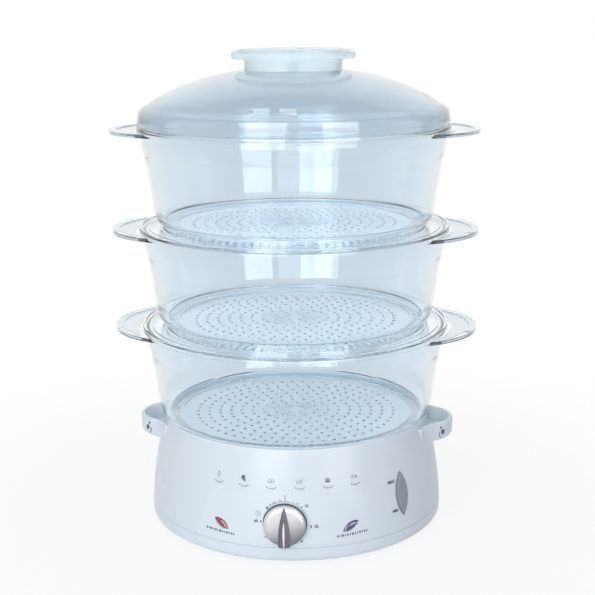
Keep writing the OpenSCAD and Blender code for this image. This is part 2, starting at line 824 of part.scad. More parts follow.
// Outline of half a bowl, with the top of its rim at height 0
function bowl_outline() = concat(
    // lip, band and tapered wall, downwards on the outside
    [[rim_r - lip_edge, 0], [rim_r, -lip_edge], [rim_r, -lip_h], [wall_r, -lip_h],
     [wall_r - band_lean, -band_z], [wall_r - band_in, -band_end_z],
     [spigot_r + 2 + round_r + toe_out, -toe_z]],
    [for (a = steps(0, 90, 4))
        [shoulder_r + round_r * cos(a), round_r - shoulder_z - round_r * sin(a)]],
    // spigot with the ledge that holds the floor
    [[spigot_r, -shoulder_z], [spigot_r, -bowl_h], [floor_r - foot_ledge, -bowl_h],
     [floor_r - foot_ledge, ledge_t - bowl_h], [floor_r + slip, ledge_t - bowl_h],
     [floor_r + slip, clear_wall - shoulder_z]],
    // inside of the wall, upwards, to the wide ledge under the rim
    [[shoulder_r, clear_wall - shoulder_z],
     [shoulder_r + round_r + toe_out - clear_wall, -toe_z],
     [wall_r - band_in - clear_wall, -band_end_z],
     [wall_r - band_lean - clear_wall, -band_z],
     [wall_r - clear_wall, -ledge_drop - clear_wall],
     [seat_r + clear_wall, -ledge_drop - clear_wall],
     [seat_r + clear_wall, -nest - clear_wall], [shelf_in, -nest - clear_wall],
     [shelf_in, -nest], [seat_r, -nest], [seat_r, -ledge_drop],
     [ridge_r - ridge_w / 2, -ledge_drop], [ridge_r - ridge_w / 2, ridge_up - ledge_drop],
     [ridge_r + ridge_w / 2, ridge_up - ledge_drop], [ridge_r + ridge_w / 2, -ledge_drop],
     [rim_r - lip_w, -ledge_drop], [rim_r - lip_w, 0]]);

module ear(side) {
    inner = wall_r - clear_wall / 2;
    translate([0, 0, -ear_drop - ear_t]) difference() {
        translate([side * ear_x, 0, 0]) cylinder(r = ear_r, h = ear_t);
        translate([0, 0, -eps]) cylinder(r = inner, h = ear_t + 2 * eps);
        translate([side > 0 ? -inf : 0, -inf / 2, -eps]) cube([inf, inf, ear_t + 2 * eps]);
        // thinner web inside the border, sunk from above and from below
        for (z = [-eps, (ear_t + ear_web_t) / 2]) difference() {
            translate([side * ear_x, 0, z])
                cylinder(r = ear_r - ear_border, h = (ear_t - ear_web_t) / 2 + eps);
            translate([0, 0, z - eps]) cylinder(r = rim_r + ear_border / 2, h = ear_t + 2 * eps);
        }
    }
}

module bowl(rim_z) {
    color("#bcd8e2", 0.5) translate([0, 0, rim_z]) {
        rotate_extrude() polygon(bowl_outline());
        ear(-1);
        ear(1);
    }
}

module bowl_floor(rim_z) {
    floor_z = rim_z - bowl_h + ledge_t;
    color("#a9c9d6", 0.6) translate([0, 0, floor_z]) difference() {
        union() {
            cylinder(r = floor_r, h = floor_t);
            translate([0, 0, floor_t - eps / 2])
                tube(floor_r - slot_len - 1, floor_r - slot_len - 1 - rib_t, rib_h + eps / 2);
        }
        for (i = [1:hole_rings], k = [1:floor(2 * PI * i)]) rotate([0, 0, k * 360 / floor(2 * PI * i)])
            translate([i * hole_pitch, 0, -eps]) cylinder(r = hole_r, h = floor_t + 2 * eps, $fn = 16);
        for (i = [1:slots]) rotate([0, 0, (i - 0.5) * 360 / slots])
            translate([floor_r - slot_len, -slot_w / 2, -eps])
            cube([slot_len + eps, slot_w, floor_t + 2 * eps]);
    }
}

module bowl_lower() {
    bowl(rim_lower);
}

module bowl_floor_lower() {
    bowl_floor(rim_lower);
}

module bowl_middle() {
    bowl(rim_middle);
}

module bowl_floor_middle() {
    bowl_floor(rim_middle);
}

module bowl_upper() {
    bowl(rim_upper);
}

module bowl_floor_upper() {
    bowl_floor(rim_upper);
}

// Height of the dome's outside above its skirt, as an ellipse cut off by the flat crown
function dome_z(r, drop) = let (a = lid_r + 18, b = dome_h + dome_apex,
    top = b * sqrt(1 - pow(crown_r / a, 2)),
    foot = b * sqrt(1 - pow((lid_r - shoulder_in) / a, 2)))
    skirt_h + dome_h * (b * sqrt(1 - pow(r / a, 2)) - foot) / (top - foot) - drop;

module lid() {
    outer_rs = steps(lid_r - shoulder_in, crown_r, dome_steps);
    inner_rs = steps(crown_r, lid_r - shoulder_in - clear_wall, dome_steps);
    color("#bcd8e2", 0.5) translate([0, 0, rim_upper]) difference() {
        rotate_extrude() polygon(concat(
            [[lid_r + bead_out, 0], [lid_r + bead_out, bead_h], [lid_r, bead_h + 1],
             [lid_r - 1, skirt_h - 1]],
            [for (r = outer_rs) [r, dome_z(r, 0)]],
            [[0, crown_z], [0, crown_z - dome_t]],
            [for (r = inner_rs) [r, dome_z(r, dome_t)]],
            [[lid_r - clear_wall - 1, skirt_h - clear_wall],
             [lid_spigot_r - clear_wall, bead_h],
             [lid_spigot_r - clear_wall, -ledge_drop + slip / 4],
             [lid_spigot_r, -ledge_drop + slip / 4], [lid_spigot_r, 0]]));
        for (side = [-1, 1]) rotate([0, 0, vent_az])
            translate([side * (vent[0] + vent_gap) / 2 - vent[0] / 2, -vent_r - vent[1] / 2, skirt_h - 4])
            cube([vent[0], vent[1], dome_h]);
        translate([0, 0, crown_z - 2 * clear_wall]) cylinder(r = lid_screw_r + fit, h = 3 * clear_wall);
    }
}

module lid_knob() {
    z = rim_upper + crown_z;
    top = neck_h + grip_h;
    color("#cfe0e2", 0.9) translate([0, 0, z]) difference() {
        union() {
            rotate_extrude() polygon(concat(
                [[neck_r, 0], [neck_r, neck_h], [grip_r - 1, neck_h], [grip_r, neck_h + 1]],
                [for (a = steps(0, 90, 5)) [grip_r - grip_round + grip_round * cos(a),
                    top - grip_round + grip_round * sin(a)]],
                [[0, top], [0, top - knob_wall],
                 [neck_r - knob_wall, top - knob_wall], [neck_r - knob_wall, 0]]));
            cylinder(r = lid_boss_r, h = top - knob_wall / 2);
        }
        translate([0, 0, -eps]) cylinder(r = lid_screw_r + running, h = grip_h + eps);
    }
}

module lid_knob_screw() {
    color("silver") translate([0, 0, rim_upper + crown_z - dome_t - lid_head_h])
        screw(lid_screw_r, dome_t + grip_h - 1, lid_head_r, lid_head_h);
}

module timer_knob() {
    bore_len = knob_len - knob_face;
    color("#c8c6d0") difference() {
        union() {
            facing(knob_z, knob_back) cylinder(r = knob_r, h = knob_len - knob_dome);
            facing(knob_z, knob_front - knob_dome) cylinder(r1 = knob_r, r2 = knob_r - 2.5, h = knob_dome);
            intersection() {
                facing(knob_z, knob_back + 1) linear_extrude(knob_len - 1 + ridge_h)
                    polygon([[-ridge_low_w / 2, -knob_r], [ridge_low_w / 2, -knob_r],
                        [ridge_top_w / 2, knob_r], [-ridge_top_w / 2, knob_r]]);
                facing(knob_z, knob_back) cylinder(r = knob_r - 0.5, h = knob_len + ridge_h);
            }
        }
        facing(knob_z, knob_back - eps) cylinder(r = shaft_r + fit, h = bore_len + eps);
    }
}

module timer_shaft() {
    shaft_back = timer_face - timer_bore_len + slip;
    color("#c9a85c") facing(knob_z, shaft_back)
        cylinder(r = shaft_r, h = knob_back + knob_len - knob_face - shaft_back);
}

base_housing();
bottom_cover();
rubber_feet();
cover_screws();
water_inlet_left();
water_inlet_right();
water_tub();
tub_screws();
heating_plate();
heater_seal();
heater_clamp();
thermostat();
thermal_fuse();
timer_case();
timer_screws();
timer_bezel();
lamp_lens_red();
lamp_lens_blue();
lamp_bulbs();
level_window();
window_gasket();
control_panel();
cord_gland();
terminal_block();
wiring();
steam_sleeve();
drip_tray();
bowl_lower();
bowl_floor_lower();
bowl_middle();
bowl_floor_middle();
bowl_upper();
bowl_floor_upper();
lid();
lid_knob();
lid_knob_screw();
timer_knob();
timer_shaft();
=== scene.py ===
import math

import bmesh
import bpy
from mathutils import Matrix, Vector


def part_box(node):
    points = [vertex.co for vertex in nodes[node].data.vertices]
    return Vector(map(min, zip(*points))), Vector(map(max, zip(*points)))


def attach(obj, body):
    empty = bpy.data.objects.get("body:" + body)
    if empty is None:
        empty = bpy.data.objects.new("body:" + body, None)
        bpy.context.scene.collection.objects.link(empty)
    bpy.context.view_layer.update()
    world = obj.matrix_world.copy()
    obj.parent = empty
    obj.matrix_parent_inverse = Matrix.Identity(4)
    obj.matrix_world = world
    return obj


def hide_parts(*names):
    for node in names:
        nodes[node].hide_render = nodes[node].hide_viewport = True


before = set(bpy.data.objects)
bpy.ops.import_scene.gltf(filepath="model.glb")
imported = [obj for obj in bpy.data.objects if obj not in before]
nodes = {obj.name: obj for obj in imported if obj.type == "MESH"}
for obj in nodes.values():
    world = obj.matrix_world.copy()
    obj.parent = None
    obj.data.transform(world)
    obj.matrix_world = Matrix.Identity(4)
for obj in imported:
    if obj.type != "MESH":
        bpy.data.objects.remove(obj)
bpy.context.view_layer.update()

# The camera stands a metre in front of the steamer, a little to the right of its
# middle and just above the lid, and looks down on it by thirteen degrees.
camera_distance = 1.020
camera_height = 0.4253
camera_round = math.radians(4.3)
camera_pan = math.radians(-0.118)
camera_down = math.radians(13)
camera_roll = math.radians(-0.4)
camera_data = bpy.data.cameras.new("camera")
camera_data.sensor_width = 36
camera_data.lens = 73.45
camera = bpy.data.objects.new("camera", camera_data)
camera.matrix_world = (
    Matrix.Translation((
        camera_distance * math.sin(camera_round),
        -camera_distance * math.cos(camera_round),
        camera_height,
    ))
    @ Matrix.Rotation(camera_round + camera_pan, 4, "Z")
    @ Matrix.Rotation(math.radians(90) - camera_down, 4, "X")
    @ Matrix.Rotation(camera_roll, 4, "Z")
)
bpy.context.scene.collection.objects.link(camera)
bpy.context.scene.camera = camera
bpy.context.scene.view_settings.view_transform = "Standard"
bpy.context.scene.cycles.max_bounces = 20
bpy.context.scene.cycles.transmission_bounces = 20
bpy.context.scene.cycles.transparent_max_bounces = 20

# The studio: a white world and a white table for what the camera, a reflection or
# clear plastic sees, soft lamps in front, above and behind, and two tall bright cards that
# stand in front as windows do and show as upright bands in the clear walls.
surround_colour = (0.88, 0.88, 0.97, 1)
surround_strength = 0.33
lamps = {
    "left": ((-1.05, -2.3, 0.95), (1.0, 1.9), 21),
    "right": ((0.25, -2.3, 0.95), (1.1, 1.9), 15),
    "top": ((0.0, -0.3, 2.2), (1.8, 1.8), 12),
    "back": ((0.0, 2.0, 1.4), (2.2, 1.6), 12),
    "card_left": ((-0.62, -2.3, 0.95), (1.25, 1.9), 44),
    "card_right": ((1.75, -2.3, 0.95), (1.35, 1.9), 48),
}
lamp_aim = Vector((0, 0, 0.2))
for name, (spot, size, power) in lamps.items():
    lamp = bpy.data.lights.new("lamp_" + name, "AREA")
    lamp.shape = "RECTANGLE"
    lamp.size, lamp.size_y = size
    lamp.energy = power
    holder = bpy.data.objects.new("lamp_" + name, lamp)
    holder.location = spot
    holder.rotation_euler = (lamp_aim - Vector(spot)).to_track_quat("-Z", "Y").to_euler()
    holder.visible_glossy = name.startswith("card")
    holder.visible_diffuse = not holder.visible_glossy
    bpy.context.scene.collection.objects.link(holder)


def feed(tree, socket, value):
    """Links a shader socket to another one, or gives it a constant."""
    if isinstance(value, bpy.types.NodeSocket):
        tree.links.new(value, socket)
    else:
        socket.default_value = value


def worked_out(tree, kind, operation, *inputs):
    """A Math or VectorMath node that works on sockets and constants."""
    node = tree.nodes.new("ShaderNode" + kind)
    node.operation = operation
    for socket, value in zip(node.inputs, inputs):
        feed(tree, socket, value)
    is_vector = kind == "VectorMath" and operation == "MULTIPLY_ADD"
    return node.outputs["Vector" if is_vector else "Value"]


def ramp(tree, value, low, high, start=0, end=1, course="SMOOTHSTEP"):
    """Goes from start to end while the given value goes from low to high."""
    node = tree.nodes.new("ShaderNodeMapRange")
    node.interpolation_type = course
    for name, given in (
        ("Value", value), ("From Min", low), ("From Max", high), ("To Min", start), ("To Max", end),
    ):
        feed(tree, node.inputs[name], given)
    return node.outputs[0]


def seen_through(tree):
    """1 for a camera ray, a mirrored ray and a ray through clear plastic, otherwise 0."""
    rays = tree.nodes.new("ShaderNodeLightPath").outputs
    direct = worked_out(tree, "Math", "MAXIMUM", rays["Is Camera Ray"], rays["Is Glossy Ray"])
    return worked_out(tree, "Math", "MAXIMUM", direct, rays["Is Transmission Ray"])


def shown_by(tree, share, first, second, output):
    """Shows the first shader where a share is 0, and the second where it is 1."""
    mix = tree.nodes.new("ShaderNodeMixShader")
    for socket, value in zip(mix.inputs, (share, first.outputs[0], second.outputs[0])):
        tree.links.new(value, socket)
    tree.links.new(mix.outputs[0], tree.nodes[output].inputs["Surface"])


world = bpy.data.worlds.new("studio")
world.use_nodes = True
bpy.context.scene.world = world
surround = world.node_tree.nodes["Background"]
surround.inputs["Color"].default_value = surround_colour
surround.inputs["Strength"].default_value = surround_strength
white_wall = world.node_tree.nodes.new("ShaderNodeBackground")
white_wall.inputs["Color"].default_value = (1, 1, 1, 1)
shown_by(world.node_tree, seen_through(world.node_tree), surround, white_wall, "World Output")

table_size = 60
table_colour = (0.88, 0.90, 0.93, 1)
table_glow = 0.84
glow_from = 0.16
glow_to = 0.55
table_white = bpy.data.materials.new("table_white")
table_white.use_nodes = True
tree = table_white.node_tree
tree.nodes.remove(tree.nodes["Principled BSDF"])
table_matt = tree.nodes.new("ShaderNodeBsdfDiffuse")
table_matt.inputs["Color"].default_value = table_colour
table_lit = tree.nodes.new("ShaderNodeEmission")
table_lit.inputs["Color"].default_value = (1, 1, 1, 1)
where = tree.nodes.new("ShaderNodeTexCoord").outputs["Object"]
away = worked_out(tree, "VectorMath", "LENGTH", where)
fade = ramp(tree, away, glow_from, glow_to, table_glow)
glow_share = worked_out(tree, "Math", "MULTIPLY", seen_through(tree), fade)
shown_by(tree, glow_share, table_matt, table_lit, "Material Output")
table_mesh = bpy.data.meshes.new("table_top")
table_form = bmesh.new()
bmesh.ops.create_grid(table_form, x_segments=1, y_segments=1, size=table_size / 2)
table_form.to_mesh(table_mesh)
table_form.free()
table_mesh.materials.append(table_white)
table_top = bpy.data.objects.new("table_top", table_mesh)
bpy.context.scene.collection.objects.link(table_top)

# White housing: one moulding in glossy white plastic, with the skirt, the crease, the
# collar that takes the lowest bowl and the deck inside it. Openings are cut in its skirt.
# Sizes of pieces are in millimetres from here on, and become metres when a mesh is made.
MM = 0.001
base_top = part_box("base_housing")[1].z / MM
seam_z = 15
crease_z = base_top - 16
crease_r = 117.3
collar_top_r = 112.6
collar_in = 111.0
skirt_flare = 9.7
shell = 2.5
deck_top = 82
deck_t = 4
deck_in = 99
knob_low, knob_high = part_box("timer_knob")
knob_z = (knob_low.z + knob_high.z) / 2 / MM
turn_steps = 192


def skirt_r(z):
    """Radius of the skirt at a height: it flares out below the crease."""
    return crease_r + skirt_flare * (1 - (z / crease_z) ** 2)


def rounded(corners, per_corner=3, most=0.45):
    """An outline from (r, z, radius) corners, with a short curve in place of each corner.

    A curve takes up at most a given share of the edges beside it.
    """
    points = []
    for i, (r, z, radius) in enumerate(corners):
        here = Vector((r, z))
        before = Vector(corners[i - 1][:2]) - here
        after = Vector(corners[(i + 1) % len(corners)][:2]) - here
        if radius == 0:
            points.append(here)
            continue
        start = here + before.normalized() * min(radius, before.length * most)
        end = here + after.normalized() * min(radius, after.length * most)
        for k in range(per_corner + 1):
            t = k / per_corner
            points.append(start * (1 - t) ** 2 + here * 2 * t * (1 - t) + end * t * t)
    return points


def new_piece(name, form, sharp=38):
    """Makes an object of a bmesh in millimetres: merged, outward, smooth but for its edges."""
    bmesh.ops.remove_doubles(form, verts=form.verts, dist=0.001)
    bmesh.ops.recalc_face_normals(form, faces=form.faces)
    bmesh.ops.scale(form, vec=(MM, MM, MM), verts=form.verts)
    mesh = bpy.data.meshes.new(name)
    form.to_mesh(mesh)
    form.free()
    mesh.shade_smooth()
    mesh.set_sharp_from_angle(angle=math.radians(sharp))
    piece = bpy.data.objects.new(name, mesh)
    bpy.context.scene.collection.objects.link(piece)
    return piece


def turned_form(outline, steps=turn_steps):
    """Spins a closed (r, z) outline round the Z axis into a closed solid."""
    form = bmesh.new()
    ring = [form.verts.new((max(p[0], 0), 0, p[1])) for p in outline]
    edges = [form.edges.new((ring[i - 1], ring[i])) for i in range(len(ring))]
    bmesh.ops.spin(
        form, geom=ring + edges, cent=(0, 0, 0), axis=(0, 0, 1),
        angle=math.tau, steps=steps, use_merge=True,
    )
    bmesh.ops.remove_doubles(form, verts=form.verts, dist=0.001)
    bmesh.ops.dissolve_degenerate(form, edges=form.edges, dist=0.0005)
    return form


def turned(name, outline, steps=turn_steps):
    return new_piece(name, turned_form(outline, steps))


def place(form, *moves):
    """Moves a form by one matrix after another."""
    for move in moves:
        bmesh.ops.transform(form, matrix=move, verts=form.verts)
    return form


def turn_z(degrees):
    return Matrix.Rotation(math.radians(degrees), 4, "Z")


def facing(z, from_axis, lean=0):
    """Lays a piece drawn upright so that its top points to the front, at a height."""
    upright = Matrix.Rotation(math.radians(90 - lean), 4, "X")
    return Matrix.Translation((0, -from_axis, z)) @ upright


def out_at(az, from_axis):
    """From the axis out to a distance, at an angle from the front."""
    return turn_z(az) @ Matrix.Translation((0, -from_axis, 0))


def cylinder_form(radius, low, high, segments=96):
    form = bmesh.new()
    bmesh.ops.create_cone(
        form, cap_ends=True, segments=segments, radius1=radius, radius2=radius, depth=high - low,
    )
    return place(form, Matrix.Translation((0, 0, (low + high) / 2)))


def block_form(low, high):
    form = bmesh.new()
    bmesh.ops.create_cube(form, size=1)
    low, high = Vector(low), Vector(high)
    size = high - low
    return place(form, Matrix.Translation((low + high) / 2) @ Matrix.Diagonal((*size, 1)))


def prism_form(outline, low, high):
    """A flat closed outline of (x, y) points, drawn up into a solid."""
    form = bmesh.new()
    face = form.faces.new([form.verts.new((x, y, low)) for x, y in outline])
    top = bmesh.ops.extrude_face_region(form, geom=[face])["geom"]
    corners = [v for v in top if isinstance(v, bmesh.types.BMVert)]
    bmesh.ops.translate(form, vec=(0, 0, high - low), verts=corners)
    bmesh.ops.recalc_face_normals(form, faces=form.faces)
    return form


def leaf_outline(length, width, per_side=24):
    """The outline of a leaf-shaped lens, pointed at both ends of its Y axis."""
    side_r = (length ** 2 + width ** 2) / (4 * width)
    half = math.asin(length / 2 / side_r)
    points = []
    for side in (1, -1):
        for i in range(per_side):
            a = -half + 2 * half * i / per_side
            points.append((
                side * (side_r * math.cos(a) + width / 2 - side_r),
                side * side_r * math.sin(a),
            ))
    return points


def combined(piece, forms, operation="DIFFERENCE", sharp=38):
    """Cuts each form out of a piece, or joins it on, and keeps only the result."""
    helpers = []
    for i, form in enumerate(forms):
        helper = new_piece(f"{piece.name}_helper_{i}", form)
        boolean = piece.modifiers.new("cut", "BOOLEAN")
        boolean.operation = operation
        boolean.solver = "EXACT"
        boolean.object = helper
        helpers.append(helper)
    graph = bpy.context.evaluated_depsgraph_get()
    mesh = bpy.data.meshes.new_from_object(piece.evaluated_get(graph))
    piece.modifiers.clear()
    old = piece.data
    piece.data = mesh
    mesh.name = old.name
    bpy.data.meshes.remove(old)
    for helper in helpers:
        bpy.data.meshes.remove(helper.data)
    mesh.shade_smooth()
    mesh.set_sharp_from_angle(angle=math.radians(sharp))
    return piece


def moulded_surface():
    """Node group: the clouding, gloss and fine texture that every moulded piece shows."""
    group = bpy.data.node_groups.new("moulded surface", "ShaderNodeTree")
    sockets = group.interface
    for name, value in (
        ("Cloud Scale", 12), ("Grain Scale", 700), ("Roughness", 0.3), ("Spread", 0.06),
    ):
        sockets.new_socket(name, in_out="INPUT", socket_type="NodeSocketFloat").default_value = value
    for name in ("Cloud", "Roughness", "Grain"):
        sockets.new_socket(name, in_out="OUTPUT", socket_type="NodeSocketFloat")
    given = group.nodes.new("NodeGroupInput")
    result = group.nodes.new("NodeGroupOutput")
    where = group.nodes.new("ShaderNodeTexCoord").outputs["Object"]
    noises = {}
    for name, scale, detail in (("Cloud", "Cloud Scale", 3), ("Grain", "Grain Scale", 2)):
        noise = group.nodes.new("ShaderNodeTexNoise")
        noise.inputs["Detail"].default_value = detail
        group.links.new(where, noise.inputs["Vector"])
        group.links.new(given.outputs[scale], noise.inputs["Scale"])
        group.links.new(noise.outputs["Fac"], result.inputs[name])
        noises[name] = noise.outputs["Fac"]
    centred = worked_out(group, "Math", "SUBTRACT", noises["Cloud"], 0.5)
    gloss = worked_out(group, "Math", "MULTIPLY_ADD", centred, given.outputs["Spread"],
                       given.outputs["Roughness"])
    group.links.new(gloss, result.inputs["Roughness"])
    return group


surface_group = moulded_surface()


def mixed_colour(material, share, first=None, second=None):
    """Mixes two colours over a surface by a share; None is the colour that it had so far."""
    tree = material.node_tree
    base = tree.nodes["Principled BSDF"].inputs["Base Color"]
    mix = tree.nodes.new("ShaderNodeMix")
    mix.data_type = "RGBA"
    first_colour, second_colour = mix.inputs[6], mix.inputs[7]
    for socket, colour in ((first_colour, first), (second_colour, second)):
        feed(tree, socket, (*colour, 1) if colour else base.links[0].from_socket)
    tree.links.new(share, mix.inputs["Factor"])
    tree.links.new(mix.outputs[2], base)


def moulded(name, colour, deeper, roughness, spread=0.08, cloud=12, grain=700, relief=0.00001,
            **constants):
    """A finish whose colour clouds between two shades, with its gloss and fine texture."""
    material = bpy.data.materials.new(name)
    material.use_nodes = True
    tree = material.node_tree
    shader = tree.nodes["Principled BSDF"]
    surface = tree.nodes.new("ShaderNodeGroup")
    surface.node_tree = surface_group
    for socket, value in (
        ("Cloud Scale", cloud), ("Grain Scale", grain), ("Roughness", roughness), ("Spread", spread),
    ):
        surface.inputs[socket].default_value = value
    mixed_colour(material, surface.outputs["Cloud"], colour, deeper)
    tree.links.new(surface.outputs["Roughness"], shader.inputs["Roughness"])
    texture = tree.nodes.new("ShaderNodeBump")
    texture.inputs["Strength"].default_value = 0.5
    texture.inputs["Distance"].default_value = relief
    tree.links.new(surface.outputs["Grain"], texture.inputs["Height"])
    tree.links.new(texture.outputs["Normal"], shader.inputs["Normal"])
    for socket, value in constants.items():
        shader.inputs[socket.replace("_", " ")].default_value = value
    return material


def dress(piece, material):
    piece.data.materials.clear()
    piece.data.materials.append(material)


white = (0.75, 0.82, 0.865)
white_plastic = moulded(
    "white_plastic", white, (0.71, 0.78, 0.83), roughness=0.28, spread=0.05, cloud=9, grain=900,
    relief=0.000006, Coat_Weight=0.06, Coat_Roughness=0.10, Specular_IOR_Level=0.16,
)

crease_bend = 6
skirt_steps = 14
skirt_rise = crease_z - crease_bend - seam_z
skirt_heights = [seam_z + skirt_rise * i / skirt_steps for i in range(skirt_steps + 1)]
skirt = [(skirt_r(z), z) for z in skirt_heights]
inner = [(r - shell, z) for r, z in reversed(skirt)]
collar = rounded([
    (*skirt[-1], 0),
    (crease_r, crease_z, 2.7),
    (collar_top_r, base_top, 0.9),
    (collar_in, base_top, 0.6),
    (collar_in, deck_top, 0.8),
    (deck_in, deck_top, 0.8),
    (deck_in, deck_top - deck_t, 0.8),
    (crease_r - shell - 0.6, deck_top - deck_t, 1.0),
])
housing = turned("housing", skirt[:-1] + collar + inner)

bezel_r = 17.8
lamp_z = 30
lamp_az = 24.3
lamp_tilt = 30
lamp_len = 15
lamp_w = 6
lens_depth, lens_dome, lens_rise = 4.6, 1.2, 0.4
window_z = 45.5
window_az = 48.5
window_len = 36
window_w = 12.7
window_lean = math.degrees(math.atan(2 * skirt_flare * window_z / crease_z ** 2))
gland_z = 24
gland_hole_r = 6.7
gland_hole_in, gland_hole_out = 110, 130
pour_slot_half = 14
pour_slot_low, pour_slot_high = 72, 75
pour_slot_in, pour_slot_out = 104, 124
fit = 0.1
lens_fit = 0.2
gasket = 2
cut_reach = 9
backwards = Matrix.Rotation(math.radians(-90), 4, "X")


def lamp_place(side):
    """Where a lamp's lens sits in the skirt, on the left (-1) or the right (1)."""
    tilt = turn_z(-side * (90 - lamp_tilt))
    return turn_z(side * lamp_az) @ facing(lamp_z, skirt_r(lamp_z)) @ tilt


window_place = turn_z(window_az) @ facing(window_z, skirt_r(window_z), window_lean)
window_hole = leaf_outline(window_len + gasket, window_w + gasket)
lens_hole = leaf_outline(lamp_len + lens_fit, lamp_w + lens_fit)
housing_cuts = [
    place(cylinder_form(bezel_r + fit, -cut_reach, cut_reach), facing(knob_z, skirt_r(knob_z))),
    place(cylinder_form(gland_hole_r, gland_hole_in, gland_hole_out), backwards,
          Matrix.Translation((0, 0, gland_z))),
    place(prism_form(window_hole, -cut_reach, cut_reach), window_place),
]
for side in (-1, 1):
    housing_cuts.append(place(prism_form(lens_hole, -cut_reach, cut_reach), lamp_place(side)))
    ends = sorted((side * pour_slot_in, side * pour_slot_out))
    housing_cuts.append(block_form(
        (ends[0], -pour_slot_half, pour_slot_low), (ends[1], pour_slot_half, pour_slot_high)
    ))
combined(housing, housing_cuts)
dress(housing, white_plastic)
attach(housing, "base")
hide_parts("base_housing")

# Bottom cover: a shallow white pan that closes the housing from below, rounded where it
# meets the table. A fine seam runs round it, and four screws sit in wells near its edge.
foot_h = 2.5
foot_r = 9
edge_r = 5.5
plate_top = foot_h + shell
post_r = 114.5
post_azs = (-68, 68, -140, 140)
well_r = 4.4
foot_azs = (-35, 35, -145, 145)
foot_from_axis = 100
seam_gap = 0.35
cover_r = skirt_r(seam_z)
groove_r = cover_r - 1.2
tongue_r = cover_r - shell - fit
tongue_in = cover_r - shell - 2
cover = turned("bottom_cover_skin", rounded([
    (0, foot_h, 0),
    (skirt_r(foot_h + edge_r), foot_h, edge_r * 1.2),
    (cover_r, seam_z - seam_gap, 0.5),
    (groove_r, seam_z - seam_gap, 0.2),
    (groove_r, seam_z + 0.3, 0.1),
    (tongue_r, seam_z + 0.3, 0.1),
    (tongue_r, seam_z + 4, 0.3),
    (tongue_in, seam_z + 4, 0.3),
    (tongue_in, plate_top, 1),
    (0, plate_top, 0),
], 5))
wells = []
for azs, from_axis, radius, depth, segments in (
    (post_azs, post_r, well_r, 3, 32), (foot_azs, foot_from_axis, foot_r + fit, 1.2, 48),
):
    for az in azs:
        well = cylinder_form(radius, foot_h - 1, foot_h + depth, segments)
        wells.append(place(well, out_at(az, from_axis)))
combined(cover, wells)
dress(cover, white_plastic)
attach(cover, "base")
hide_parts("bottom_cover")

# Rubber feet: four turned pads of black rubber. They are pressed into shallow recesses of
# the bottom cover.
foot_rubber = moulded(
    "foot_rubber", (0.045, 0.048, 0.052), (0.07, 0.072, 0.075),
    roughness=0.75, spread=0.1, cloud=60, grain=1500, relief=0.00004,
)


def merged(forms):
    """Puts forms together in one, and frees them."""
    whole = bmesh.new()
    for form in forms:
        mesh = bpy.data.meshes.new("part")
        form.to_mesh(mesh)
        form.free()
        whole.from_mesh(mesh)
        bpy.data.meshes.remove(mesh)
    return whole


foot_line = rounded([
    (0, 0, 0), (foot_r - 0.6, 0, 0.8), (foot_r, foot_h + 1, 0.2), (0, foot_h + 1, 0),
])
feet = new_piece("feet", merged(
    [place(turned_form(foot_line, 48), out_at(az, foot_from_axis)) for az in foot_azs]
))
dress(feet, foot_rubber)
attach(feet, "base")
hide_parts("rubber_feet")

# Water inlets: a white cup at each side that water is poured into, and the base is carried
# by. Its wall runs into the collar in hollow curves, and its lower edge is well rounded.
inlet_r = 29
inlet_x = 108
inlet_fairing = 40
inlet_bottom = crease_z - 7
inlet_h = 16.5
inlet_back = crease_r - 14
inlet_wall = 3
inlet_floor = 2.5
envelope_low = 20
# Painted light: the inside of each cup, its floor and inward walls, is painted a lighter shade than
# the white plastic to lift the shade in the recess.
inlet_painted_light = moulded(
    "inlet_lining_painted_light", (0.80, 0.87, 0.90), (0.72, 0.80, 0.84),
    roughness=0.35, cloud=14, grain=900, Specular_IOR_Level=0.3,
)


def inlet_outline(shrink):
    """Half-round plan of an inlet on the right, tied to the collar by two hollow curves."""
    from_inlet = inlet_r + inlet_fairing
    from_axis = crease_r + inlet_fairing
    x = (from_axis ** 2 - from_inlet ** 2 + inlet_x ** 2) / (2 * inlet_x)
    y = math.sqrt(from_axis ** 2 - x ** 2)
    radius = inlet_fairing + shrink
    to_inlet = math.atan2(-y, inlet_x - x)
    to_axis = math.atan2(-y, -x)
    steps = 12
    hollow = [
        (x + radius * math.cos(to_axis + (to_inlet - to_axis) * i / steps),
         y + radius * math.sin(to_axis + (to_inlet - to_axis) * i / steps))
        for i in range(steps + 1)
    ]
    start = math.atan2(y, x - inlet_x)
    round_steps = 40
    nose = [
        (inlet_x + (inlet_r - shrink) * math.cos(start - 2 * start * i / round_steps),
         (inlet_r - shrink) * math.sin(start - 2 * start * i / round_steps))
        for i in range(1, round_steps)
    ]
    lower = [(px, -py) for px, py in reversed(hollow)]
    return [(inlet_back, hollow[0][1])] + hollow + nose + lower + [(inlet_back, lower[-1][1])]


def envelope_form(grow):
    """The outside of the housing as a solid, to trim what stands against it."""
    heights = [envelope_low + (crease_z - envelope_low) * i / 10 for i in range(11)]
    side_line = [(skirt_r(z) + grow, z) for z in heights]
    top_line = [(collar_top_r + grow, base_top), (0, base_top + 8)]
    return turned_form([(0, envelope_low)] + side_line + top_line)


